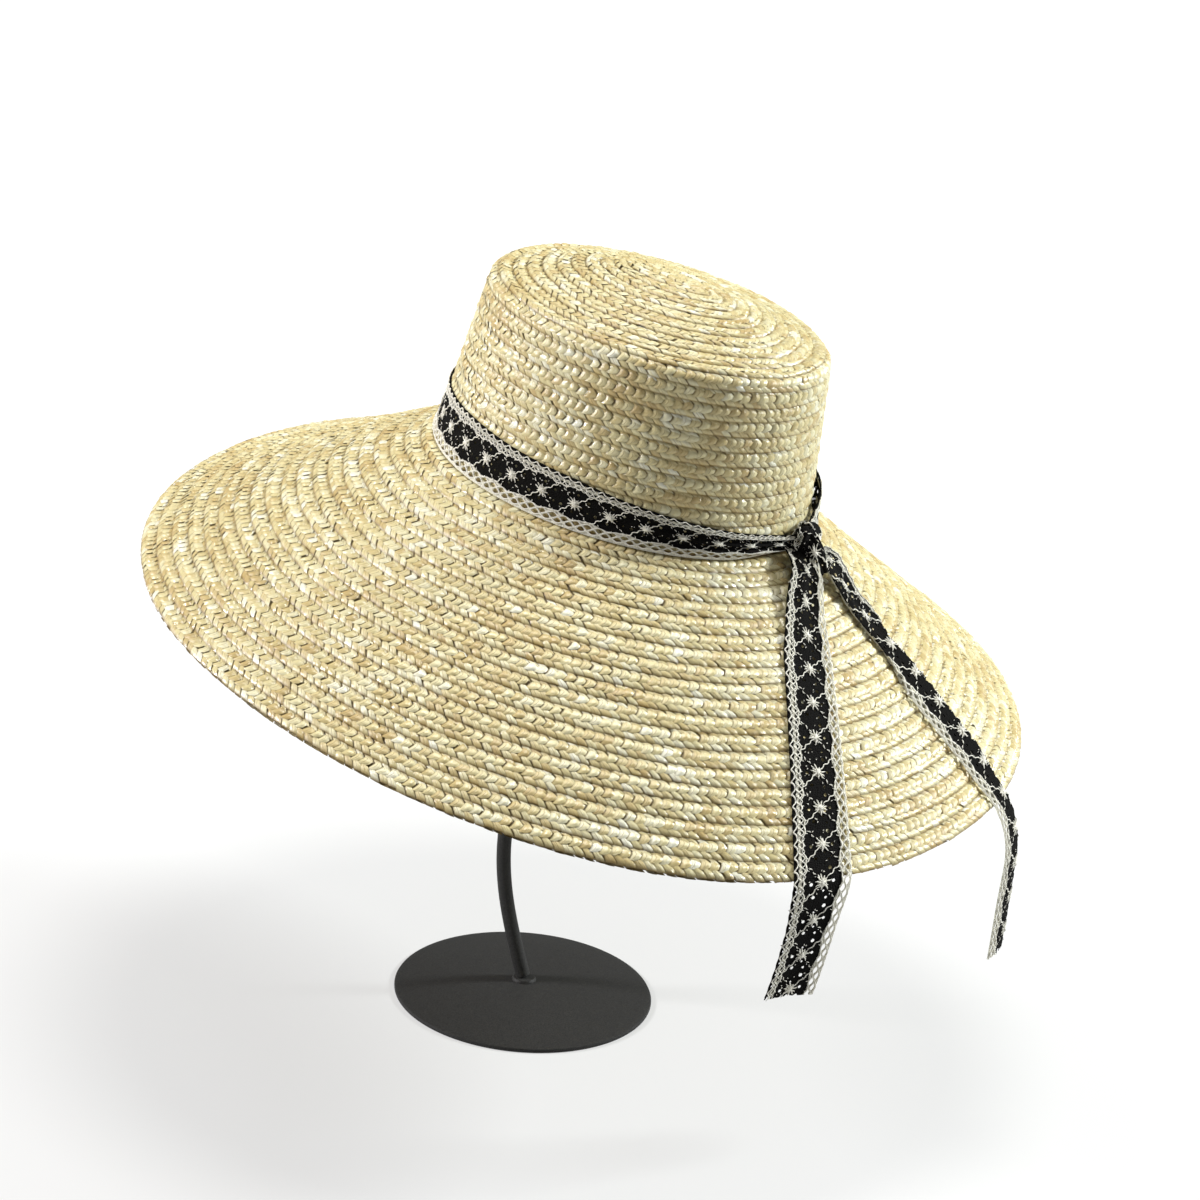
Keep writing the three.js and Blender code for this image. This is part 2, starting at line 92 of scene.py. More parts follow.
def ring_faces(rings, sides, loop=False):
    """Quads between closed rings of points."""
    last = rings if loop else rings - 1
    here = np.arange(last)[:, None] * sides
    there = (np.arange(last)[:, None] + 1) % rings * sides
    now = np.arange(sides)[None, :]
    after = (now + 1) % sides
    return np.stack([here + now, there + now, there + after, here + after], -1).reshape(-1, 4)

# %% [markdown]
# ## Camera
# The photographer stood behind the hat's left side, a little above it, and held a long lens slightly askew.
# Blender's camera looks along its own -Z, so its matrix is written from the three directions of the view.
# A long lens far away keeps the ovals of the brim as flat as the picture has them.

# %% Camera
VIEW_AZIMUTH = math.radians(118.25)
VIEW_RISE = math.radians(19.81)
VIEW_ROLL = math.radians(5.14)
ORIGIN_IN_VIEW = np.array([-42.0, 213.18, 1740.52])
LENS = 96
SENSOR = 36
FAR_CLIP = 60


def view_axes():
    """Right, down and away of the view, as rows."""
    cos_rise = math.cos(VIEW_RISE)
    back = np.array([math.sin(VIEW_AZIMUTH) * cos_rise, -math.cos(VIEW_AZIMUTH) * cos_rise, math.sin(VIEW_RISE)])
    right = unit(np.cross(-back, [0, 0, 1]))
    down = np.cross(-back, right)
    cos_roll, sin_roll = math.cos(VIEW_ROLL), math.sin(VIEW_ROLL)
    return np.array([cos_roll * right - sin_roll * down, sin_roll * right + cos_roll * down, -back])


axes = view_axes()
eye = -axes.T @ ORIGIN_IN_VIEW * MM
camera = link(bpy.data.objects.new("camera", bpy.data.cameras.new("camera")))
camera.data.lens = LENS
camera.data.sensor_width = SENSOR
camera.data.clip_end = FAR_CLIP
camera.matrix_world = Matrix([*np.column_stack([axes[0], -axes[1], -axes[2], eye]).tolist(), [0, 0, 0, 1]])
bpy.context.scene.camera = camera
print("camera at", np.round(eye, 3), "m")

# %% [markdown]
# ## Light and floor
# The floor is a wide white disc. It glows, which is painted light: about half as much under the stand, where
# it lightens the hat's shadow, and fully further out, where a studio lights its white paper from behind, so that
# it runs into the white room without an edge. One soft light comes from the left, another from behind on the
# right, and one from above fills the top. Colours are shown with the Standard transform, so that white stays
# white.

# %% Node helpers
def feed(tree, socket, value):
    """Gives an input a link from another node's output, or a plain value."""
    if hasattr(value, "is_linked"):
        tree.links.new(value, socket)
    else:
        socket.default_value = value


def shader_material(name):
    """A new material and its node tree."""
    material = bpy.data.materials.new(name)
    material.use_nodes = True
    return material, material.node_tree


def set_shader(tree, values):
    """Feeds the named inputs of a material's Principled shader."""
    for name, value in values.items():
        feed(tree, tree.nodes["Principled BSDF"].inputs[name], value)


def math_node(tree, operation, first, second=None, clamp=False):
    """A Math node fed by sockets or by plain numbers."""
    node = tree.nodes.new("ShaderNodeMath")
    node.operation = operation
    node.use_clamp = clamp
    for slot, value in enumerate((first, second)):
        if value is not None:
            feed(tree, node.inputs[slot], value)
    return node.outputs[0]


def map_range(tree, value, start=0.0, stop=1.0, low=0.0, high=1.0, kind="LINEAR"):
    """A Map Range node, from start and stop to low and high."""
    node = tree.nodes.new("ShaderNodeMapRange")
    node.interpolation_type = kind
    for label, limit in (("From Min", start), ("From Max", stop), ("To Min", low), ("To Max", high)):
        node.inputs[label].default_value = limit
    tree.links.new(value, node.inputs["Value"])
    return node.outputs["Result"]


def attribute(tree, name):
    node = tree.nodes.new("ShaderNodeAttribute")
    node.attribute_name = name
    return node.outputs["Fac"]


def seen_by_camera(tree):
    """One for what the camera sees itself, zero for the light that falls on other things."""
    return tree.nodes.new("ShaderNodeLightPath").outputs["Is Camera Ray"]


# %% Floor
# By distance from the stand, in metres: how much the floor glows. Of that glow the hat gets only a share.
FLOOR_GLOW = [
    (0, 0.49), (0.2, 0.52), (0.45, 0.6), (0.7, 0.7), (1.0, 0.79), (1.4, 0.87), (2.0, 0.95), (3.0, 1.0), (9.0, 1.0),
]
GLOW_ON_HAT = 0.58
FLOOR_COLOUR = (0.30, 0.305, 0.305, 1)
FLOOR_RINGS = [0.02, 0.1, 0.18, 0.25, 0.32, 0.38, 0.45, 0.55, 0.7, 0.85, 1.0, 1.2, 1.4, 1.7, 2.0, 3.0, 5.0, 9.0]
FLOOR_SIDES = 96


def white_floor():
    """A round floor with its glow as a mark on its corners."""
    radius = np.array(FLOOR_RINGS)[:, None]
    angle = around(FLOOR_SIDES)
    rings = np.stack(np.broadcast_arrays(radius * np.cos(angle), radius * np.sin(angle), 0.0), -1)
    mesh = bpy.data.meshes.new("floor")
    faces = [list(range(FLOOR_SIDES)), *ring_faces(len(FLOOR_RINGS), FLOOR_SIDES).tolist()]
    mesh.from_pydata(rings.reshape(-1, 3).tolist(), [], faces)
    glow = mesh.attributes.new("glow", "FLOAT", "POINT")
    glow.data.foreach_set("value", np.repeat(np.interp(FLOOR_RINGS, *zip(*FLOOR_GLOW)), FLOOR_SIDES))
    material, tree = shader_material("white floor")
    share = map_range(tree, seen_by_camera(tree), low=GLOW_ON_HAT)
    set_shader(tree, {
        "Base Color": FLOOR_COLOUR, "Roughness": 0.75, "Specular IOR Level": 0.25, "Emission Color": (1, 1, 1, 1),
        "Emission Strength": math_node(tree, "MULTIPLY", attribute(tree, "glow"), share),
    })
    mesh.materials.append(material)
    obj = link(bpy.data.objects.new("floor", mesh))


white_floor()

# %% Lights
# Each row: name, how far to the right, towards the camera and up (m), its size (m), its power (W), its colour.
LIGHTS = [
    ("left softbox", -2.0, 0.05, 1.25, 0.45, 51, (1.0, 0.975, 0.99)),
    ("right softbox", 1.9, -0.45, 1.25, 0.4, 57, (0.96, 1.0, 1.0)),
    ("overhead", 0.1, -0.2, 2.3, 0.8, 28, (1.0, 0.98, 0.935)),
]
LIGHT_TARGET = (0, 0.03, 0.28)
# The room looks white, but lights the hat only a little, so that the lamps shape it.
ROOM_COLOUR = (1.0, 0.99, 0.97, 1)
ROOM_ON_HAT = 0.14
ROOM_SEEN = 1.02


def add_light(name, right, near, up, size, power, colour):
    """A round area light, placed as the photographer sees the stand and turned towards the hat."""
    lamp = bpy.data.lights.new(name, "AREA")
    lamp.shape = "DISK"
    lamp.size = size
    lamp.energy = power
    lamp.color = colour
    spot = unit(axes[0] * [1, 1, 0]) * right - unit(axes[2] * [1, 1, 0]) * near + [0, 0, up]
    ahead = unit(LIGHT_TARGET - spot)
    across = unit(np.cross(ahead, [0, 0, 1]))
    obj = link(bpy.data.objects.new(name, lamp))
    obj.location = spot
    obj.rotation_euler = Matrix(np.column_stack([across, np.cross(across, ahead), -ahead]).tolist()).to_euler()


for light in LIGHTS:
    add_light(*light)
world = bpy.data.worlds.new("studio")
world.use_nodes = True
tree = world.node_tree
room = tree.nodes["Background"]
room.inputs["Color"].default_value = ROOM_COLOUR
tree.links.new(map_range(tree, seen_by_camera(tree), low=ROOM_ON_HAT, high=ROOM_SEEN), room.inputs["Strength"])
bpy.context.scene.world = world
bpy.context.scene.view_settings.view_transform = "Standard"
print(len(LIGHTS), "lights")

# %% [markdown]
# ## The hat's frame and its surfaces
# The crown and the brim are ovals all the way. One function gives a point of an oval at a turn round the hat,
# and the crown and the brim each say how long, wide and high their oval is. Every straw, thread and stitch below
# is laid out flat, as a distance along, a distance across and a height, and these functions bend it into place.
# The numbers are the same driving sizes as in the solids.

# %% Driving sizes
CROWN_LENGTH = 198.4
CROWN_WIDTH = 172.8
CROWN_HEIGHT = 91
CROWN_TAPER = 9.5
TIP_EDGE_RADIUS = 10
TIP_DOME = 15
TIP_DOME_POWER = 1.7
TIP_SEAM_LENGTH = 32
BRIM_REACH = 134.6
BRIM_SIDE_SHARE = 1.025
BRIM_DROP = 86
BRIM_DROOP = [(1, 0.072, -0.085), (2, -0.002, -0.01), (3, -0.011, -0.032)]
STRAW_WALL = 1.7
ROW_STEP = 0.9
GAP = 0.3
HAT_LEAN = math.radians(9.05)
HAT_BACK = 31.8
HAT_UP = 305.2
HALF_LENGTH = CROWN_LENGTH / 2
HALF_WIDTH = CROWN_WIDTH / 2
TIP_HALF_LENGTH = HALF_LENGTH - CROWN_TAPER - TIP_EDGE_RADIUS
TIP_HALF_WIDTH = HALF_WIDTH - CROWN_TAPER - TIP_EDGE_RADIUS
RIDGE = ROW_STEP / 2
INSIDE = -(RIDGE + STRAW_WALL)
SIDE_TOP = CROWN_HEIGHT - TIP_EDGE_RADIUS
SIDE_LEAN = math.atan(CROWN_TAPER / SIDE_TOP)
BRIM_SLOPE = math.atan(BRIM_DROP / BRIM_REACH)


def hat_to_frame(points):
    """From the hat's frame (x, back, up) to the frame of the solids, in millimetres."""
    x, back, up = points[..., 0], points[..., 1], points[..., 2]
    cos, sin = math.cos(HAT_LEAN), math.sin(HAT_LEAN)
    return np.stack([x, back * cos + up * sin + HAT_BACK, up * cos - back * sin + HAT_UP], -1)


def on_oval(turn, half_length, half_width, height):
    """Turn 0 is the back, a quarter turn is the wearer's right."""
    return np.stack(np.broadcast_arrays(-half_width * np.sin(turn), half_length * np.cos(turn), height), -1)


# %% Crown profile
# How far the crown's side runs on below its foot.
CROWN_TUCK = 2.4


def tip_slope(share):
    """The slope of the domed tip, by the share of its half width."""
    return np.arctan(TIP_DOME * TIP_DOME_POWER * share ** (TIP_DOME_POWER - 1) / TIP_HALF_WIDTH)


def crown_table():
    """Half length, half width, height and the lean of the outward normal, by the way down from the seam."""
    share = np.linspace(0, 1, 60)
    drop = TIP_EDGE_RADIUS * (1 - math.cos(tip_slope(1.0)))
    tip = np.stack([
        TIP_SEAM_LENGTH / 2 + (TIP_HALF_LENGTH - TIP_SEAM_LENGTH / 2) * share,
        TIP_HALF_WIDTH * share,
        CROWN_HEIGHT + TIP_DOME * (1 - share**TIP_DOME_POWER) - drop,
        math.pi / 2 - tip_slope(share),
    ])
    angle = np.linspace(math.pi / 2 - tip_slope(1.0), SIDE_LEAN, 24)[1:]
    reach = -CROWN_TAPER - TIP_EDGE_RADIUS + TIP_EDGE_RADIUS * np.cos(angle)
    edge = np.stack([
        HALF_LENGTH + reach,
        HALF_WIDTH + reach,
        SIDE_TOP + TIP_EDGE_RADIUS * np.sin(angle),
        angle,
    ])
    height = np.linspace(SIDE_TOP, -CROWN_TUCK, 30)[1:]
    reach = -CROWN_TAPER * height / SIDE_TOP
    side = np.stack([HALF_LENGTH + reach, HALF_WIDTH + reach, height, np.full(len(height), SIDE_LEAN)])
    table = np.concatenate([tip, edge, side], 1)
    return travelled(table[1:3].T), table


CROWN_WAY, CROWN_TABLE = crown_table()
CROWN_END = float(CROWN_WAY[-1])
CROWN_RUN = CROWN_END - CROWN_TUCK / math.cos(SIDE_LEAN)


def crown_place(turn, way, out):
    """A point of the crown at a way down from the seam of its tip, and so far out of the wall."""
    long, wide, height, lean = (np.interp(way, CROWN_WAY, column) for column in CROWN_TABLE)
    grow = out * np.cos(lean)
    return on_oval(turn, long + grow, np.maximum(wide + grow, 0), height + out * np.sin(lean))


def brim_place(turn, share, out):
    """A point of the brim, from the crown's foot (0) to the rim (1)."""
    droop = sum(back * np.cos(waves * turn) + right * np.sin(waves * turn) for waves, back, right in BRIM_DROOP)
    reach = BRIM_REACH * share + out * math.sin(BRIM_SLOPE)
    fall = BRIM_DROP * share * (1 + droop * share)
    height = -GAP - RIDGE - fall + out * math.cos(BRIM_SLOPE)
    return on_oval(turn, HALF_LENGTH + reach, HALF_WIDTH + reach * BRIM_SIDE_SHARE, height)


BRIM_RUN = math.hypot(BRIM_REACH, BRIM_DROP)
print("from seam to foot %.0f mm, from foot to rim %.0f mm" % (CROWN_RUN, BRIM_RUN))

# %% [markdown]
# ## Making a mesh from arrays
# A hat of this kind shows some twenty thousand straw crossings. Objects for each would be far too slow, so
# numpy works out all the corners at once, and one function turns arrays of corners and faces into one piece.
# Values that change from straw to straw, such as its tone, go along as attributes for the material to read.

# %% Mesh helper
piece_triangles = {}


def add_piece(name, points, faces, material, marks=None, flat=None, cell=None):
    """One mesh piece in the hat's body. faces is a list of index arrays, each of one face size."""
    corners = np.concatenate([np.asarray(f, np.int32).ravel() for f in faces])
    sizes = np.concatenate([np.full(len(f), f.shape[1], np.int32) for f in faces])
    mesh = bpy.data.meshes.new(name)
    mesh.vertices.add(len(points))
    mesh.vertices.foreach_set("co", (np.asarray(points, np.float64) * MM).astype(np.float32).ravel())
    mesh.loops.add(len(corners))
    mesh.loops.foreach_set("vertex_index", corners)
    mesh.polygons.add(len(sizes))
    mesh.polygons.foreach_set("loop_start", np.concatenate([[0], np.cumsum(sizes)[:-1]]).astype(np.int32))
    mesh.polygons.foreach_set("use_smooth", np.ones(len(sizes), bool))
    mesh.update(calc_edges=True)
    for label, values in (("flat", flat), ("cell", cell)):
        if values is not None:
            layer = mesh.uv_layers.new(name=label)
            layer.data.foreach_set("uv", values[corners].astype(np.float32).ravel())
    for mark, values in (marks or {}).items():
        layer = mesh.attributes.new(mark, "FLOAT", "POINT")
        layer.data.foreach_set("value", np.asarray(values, np.float32).ravel())
    mesh.materials.append(material)
    obj = link(bpy.data.objects.new(name, mesh))
    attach(obj, "root")
    piece_triangles[name] = int((sizes - 2).sum())
    return obj


# %% [markdown]
# ## Materials: shared groups
# Straw and yarn both show fine lines along their length. That effect is one node group with named sockets,
# which every straw or yarn material places with its own values. A second group paints shade: it darkens the
# straw along the edges where crossings tuck under each other, in their creases and where they lie deep.
# Groups give out only masks and colours, and the shader stays outside.

# %% Node group helpers
def new_group(name, inputs, outputs):
    """A shader node group with its sockets: inputs as (name, kind, default), outputs as (name, kind)."""
    tree = bpy.data.node_groups.new(name, "ShaderNodeTree")
    for label, kind, default in inputs:
        socket = tree.interface.new_socket(label, in_out="INPUT", socket_type="NodeSocket" + kind)
        if default is not None:
            socket.default_value = default
    for label, kind in outputs:
        tree.interface.new_socket(label, in_out="OUTPUT", socket_type="NodeSocket" + kind)
    return tree, tree.nodes.new("NodeGroupInput"), tree.nodes.new("NodeGroupOutput")


def place_group(tree, group, **values):
    """Places a node group and feeds its named inputs by sockets or plain values."""
    node = tree.nodes.new("ShaderNodeGroup")
    node.node_tree = group
    for name, value in values.items():
        feed(tree, node.inputs[name], value)
    return node


def mix_colour(tree, factor, first, second):
    """A colour Mix node fed by sockets or plain colours."""
    node = tree.nodes.new("ShaderNodeMix")
    node.data_type = "RGBA"
    for key, value in (("Factor_Float", factor), ("A_Color", first), ("B_Color", second)):
        feed(tree, next(s for s in node.inputs if s.identifier == key), value)
    return next(s for s in node.outputs if s.identifier == "Result_Color")


def layout(tree, name="flat"):
    node = tree.nodes.new("ShaderNodeUVMap")
    node.uv_map = name
    return node.outputs["UV"]


def noise(tree, vector, scale, dimensions="3D"):
    node = tree.nodes.new("ShaderNodeTexNoise")
    node.noise_dimensions = dimensions
    node.inputs["Scale"].default_value = scale
    node.inputs["Detail"].default_value = 2
    tree.links.new(vector, node.inputs["Vector"])
    return node.outputs["Fac"]


def colour_ramp(tree, factor, stops):
    """A colour ramp from stops of (place, red, green, blue)."""
    node = tree.nodes.new("ShaderNodeValToRGB")
    ramp = node.color_ramp
    while len(ramp.elements) < len(stops):
        ramp.elements.new(1.0)
    for element, (spot, red, green, blue) in zip(ramp.elements, stops):
        element.position = spot
        element.color = (red, green, blue, 1)
    tree.links.new(factor, node.inputs["Fac"])
    return node.outputs["Color"]


def bump(tree, height, strength, distance):
    node = tree.nodes.new("ShaderNodeBump")
    node.inputs["Strength"].default_value = strength
    node.inputs["Distance"].default_value = distance
    tree.links.new(height, node.inputs["Height"])
    return node.outputs["Normal"]


# %% Fibre lines group
def fibre_lines():
    """Fine lines along a straw or yarn, from its flat layout in millimetres."""
    tree, given, out = new_group(
        "Fibre lines",
        [("Layout", "Vector", None), ("Along", "Float", 0.25), ("Across", "Float", 3.0), ("Contrast", "Float", 1.0)],
        [("Lines", "Float")],
    )
    stretch = tree.nodes.new("ShaderNodeCombineXYZ")
    tree.links.new(given.outputs["Along"], stretch.inputs["X"])
    tree.links.new(given.outputs["Across"], stretch.inputs["Y"])
    scaled = tree.nodes.new("ShaderNodeVectorMath")
    scaled.operation = "MULTIPLY"
    tree.links.new(given.outputs["Layout"], scaled.inputs[0])
    tree.links.new(stretch.outputs[0], scaled.inputs[1])
    centred = math_node(tree, "SUBTRACT", noise(tree, scaled.outputs[0], 1, "2D"), 0.5)
    spread = math_node(tree, "MULTIPLY", centred, given.outputs["Contrast"])
    tree.links.new(math_node(tree, "ADD", spread, 0.5, clamp=True), out.inputs["Lines"])
    return tree


# %% Deep shade group
def deep_shade():
    """Painted shade towards a deep colour: at a crossing's tucked edges, in its crease, and where it lies deep."""
    tree, given, out = new_group(
        "Deep shade",
        [("Color", "Color", (1, 1, 1, 1)), ("Deep", "Color", (0.2, 0.13, 0.05, 1)), ("Cell", "Vector", None),
         ("Sunk", "Float", 0.0), ("Line", "Float", 0.85), ("Crease", "Float", 0.0)],
        [("Color", "Color")],
    )
    split = tree.nodes.new("ShaderNodeSeparateXYZ")
    tree.links.new(given.outputs["Cell"], split.inputs[0])
    down, across = split.outputs["X"], split.outputs["Y"]

    def ramp(value, start, stop):
        return map_range(tree, value, start, stop, kind="SMOOTHSTEP")

    # One in the open middle of a crossing, zero at its four edges, where painted shade lines run.
    middle = math_node(tree, "MULTIPLY", math_node(tree, "MULTIPLY", ramp(across, 0.05, 0.15), ramp(across, 1.0, 0.97)),
                       math_node(tree, "MULTIPLY", ramp(down, 0.0, 0.08), ramp(down, 1.0, 0.92)))
    line = math_node(tree, "MULTIPLY", math_node(tree, "SUBTRACT", 1.0, middle), given.outputs["Line"])
    # Some straws are split along their middle, and painted shade darkens that crease.
    beside = math_node(tree, "ABSOLUTE", math_node(tree, "SUBTRACT", across, 0.46))
    crease = math_node(tree, "MULTIPLY", math_node(tree, "SUBTRACT", 1.0, ramp(beside, 0.01, 0.06)),
                       math_node(tree, "MULTIPLY", ramp(given.outputs["Crease"], 0.42, 0.6), given.outputs["Line"]))
    dark = math_node(tree, "MAXIMUM", math_node(tree, "MAXIMUM", line, crease), given.outputs["Sunk"], clamp=True)
    tree.links.new(mix_colour(tree, dark, given.outputs["Color"], given.outputs["Deep"]), out.inputs["Color"])
    return tree


FIBRE_LINES = fibre_lines()
DEEP_SHADE = deep_shade()
print("node groups:", FIBRE_LINES.name, "and", DEEP_SHADE.name)

# %% [markdown]
# ## Straw
# Wheat straw is split, flattened and plaited. It has a waxy skin, so it shines, and every straw has its own tone
# from tan through cream to a greenish white. The tone comes from an attribute of each crossing, fine lines run
# along the straw, and the skin's gloss varies a little from one straw to the next.

# %% Straw material
# Colours by tone.
STRAW_TONES = [
    (0.0, 0.53, 0.395, 0.17),
    (0.22, 0.62, 0.51, 0.245),
    (0.5, 0.70, 0.62, 0.335),
    (0.78, 0.765, 0.715, 0.455),
    (1.0, 0.88, 0.87, 0.71),
]
# Painted shade: between the straws and along their tucked edges the colour falls to this brown, this strongly.
STRAW_SHADE_BROWN = np.array([0.19, 0.115, 0.025])
SHADE_LINE_STRENGTH = 0.54
TONE_BY_LINES = 0.34
ROUGH_BY_GLEAM = 0.3


def straw_material(name, dim, smoothest):
    """Straw, dimmed by a share as painted shade, with the roughness of its smoothest straws."""
    material, tree = shader_material(name)
    lines = place_group(tree, FIBRE_LINES, Layout=layout(tree), Along=0.3, Across=1.9, Contrast=1.7).outputs[0]
    by_lines = math_node(tree, "MULTIPLY", math_node(tree, "SUBTRACT", lines, 0.5), TONE_BY_LINES)
    tone = math_node(tree, "ADD", attribute(tree, "tone"), by_lines, clamp=True)
    gleam = attribute(tree, "gleam")
    shaded = place_group(
        tree, DEEP_SHADE, Cell=layout(tree, "cell"), Sunk=attribute(tree, "sunk_shade"), Line=SHADE_LINE_STRENGTH, Crease=gleam,
        Color=colour_ramp(tree, tone, [(p, r * dim, g * dim, b * dim) for p, r, g, b in STRAW_TONES]),
        Deep=(*(STRAW_SHADE_BROWN * dim), 1),
    )
    rough = math_node(tree, "ADD", math_node(tree, "MULTIPLY", gleam, ROUGH_BY_GLEAM), smoothest)
    set_shader(tree, {"Base Color": shaded.outputs["Color"], "Roughness": rough, "Specular IOR Level": 0.8,
                      "Normal": bump(tree, lines, 0.5, 0.00025)})
    return material


straw_outside = straw_material("straw outside", dim=1.0, smoothest=0.16)
# Inside the hat and on the wall behind the crossings the straw is dimmed: painted shade.
straw_inside = straw_material("straw inside", dim=0.93, smoothest=0.24)
print("straw tones:", len(STRAW_TONES))

# %% [markdown]
# ## The plait
# Each row is one flat plait. Its straws cross in three columns: narrow strips that slant out from under the row
# above, a middle column of broad, bulging crossings, and a lower column that slants back and rolls down to the
# row's edge. A crossing is a small curved patch of four by four corners. Its outline leans and swells by the
# table below, and numpy repeats it for the whole row.
# A displaced grid would blur the crisp edges between straws, so each crossing is a patch of its own.

# %% Plait tables
PITCH = 4.75
# Across the row, from its top edge (0) to its foot (1): how far the row stands out, in millimetres.
ROW_ACROSS = [-0.12, 0.0, 0.12, 0.3, 0.55, 0.8, 0.95, 1.04, 1.12]
ROW_RISE = [-0.85, -0.6, -0.12, 0.1, 0.28, 0.32, 0.22, -0.05, -0.7]
# One entry for each column of crossings: where it starts and ends across the row, the shift along the row at
# four places down the crossing and the height there (shares of the pitch, millimetres), its width, taper and
# swell, its offset along the row, and how much painted shade darkens it at those four places, strongest under
# the row above and at the row's foot.
COLUMNS = [
    {"top": -0.06, "foot": 0.3, "lean": (-0.45, -0.2, 0.08, 0.34), "lift": (-0.1, 0.0, 0.08, -0.15),
     "width": 0.92, "taper": (0.95, 1.0, 1.0, 0.8), "swell": 0.26, "offset": 0.1, "sunk_shade": (1.0, 0.4, 0.0, 0.1)},
    {"top": 0.15, "foot": 0.72, "lean": (0.06, 0.2, 0.04, -0.38), "lift": (-0.25, 0.3, 0.32, -0.2),
     "width": 1.04, "taper": (0.62, 1.0, 1.04, 0.66), "swell": 0.5, "offset": 0.0, "sunk_shade": (0.1, 0.0, 0.0, 0.1)},
    {"top": 0.6, "foot": 1.07, "lean": (-0.34, -0.1, 0.18, 0.4), "lift": (-0.25, 0.12, 0.15, -0.1),
     "width": 1.0, "taper": (0.7, 1.0, 1.0, 0.95), "swell": 0.3, "offset": 0.42, "sunk_shade": (0.1, 0.0, 0.05, 0.9)},
]
# Across a crossing, along the row: places, and the share of the swell there. The far side laps over the next.
CROSSING_PLACES = np.array([-0.5, -0.2, 0.24, 0.5])
CROSSING_SWELL = np.array([-0.45, 0.75, 1.0, 0.1])
DOWN_PLACES = np.array([0.0, 0.34, 0.7, 1.0])
# How much single crossings differ: their shift along and width (shares of the pitch), their shift across (share
# of the row), their swell (share), and how their faces tilt sideways and downwards (millimetres).
JITTER = {"along": 0.055, "width": 0.07, "across": 0.022, "swell": 0.26, "sideways": 0.26, "downwards": 0.2}
# How far the rows' edges wander, and the sides of a crossing are drawn in (shares of the row). How far the rows
# puff out in slow waves (millimetres).
ROW_WANDER = 0.09
DRAWN_IN = 0.035
ROW_PUFF = 0.3
# A straw shows again every few crossings, so its tone comes in short runs of about this many.
STRAW_RUN = 3.4
# The tone: its lowest value, and what the run, the crossing's own share and slow waves round the hat add.
TONE_FROM, TONE_BY_RUN, TONE_OWN, TONE_SLOW = -0.05, 0.42, 0.66, 0.2
# This share of the crossings is paler by so much: partly bleached straw, partly a painted highlight.
PALE_AND_GLINT_SHARE, PALE_AND_GLINT = 0.1, 0.35
# How far the crossings inside the hat stand in the wall.
INNER_SKIN = 0.35


# %% Distances round an oval
def oval_run(half_length, half_width):
    """Turns and the distance along an oval up to each of them."""
    turns = np.linspace(0, TURN, 1441)
    return turns, travelled(on_oval(turns, half_length, half_width, 0.0))


def turn_at(distance, turns, run):
    """The turn at a distance along an oval, which may pass its end."""
    laps = np.floor(distance / run[-1])
    return np.interp(distance - laps * run[-1], run, turns) + laps * TURN


def wander(rng, amount, waves=(2, 3, 5, 8)):
    """A slow, seeded wave round the hat."""
    phases = rng.uniform(0, TURN, len(waves))
    weights = rng.uniform(0.4, 1.0, len(waves)) / len(waves)
    return lambda turn: amount * sum(w * np.sin(n * turn + p) for n, w, p in zip(waves, weights, phases))


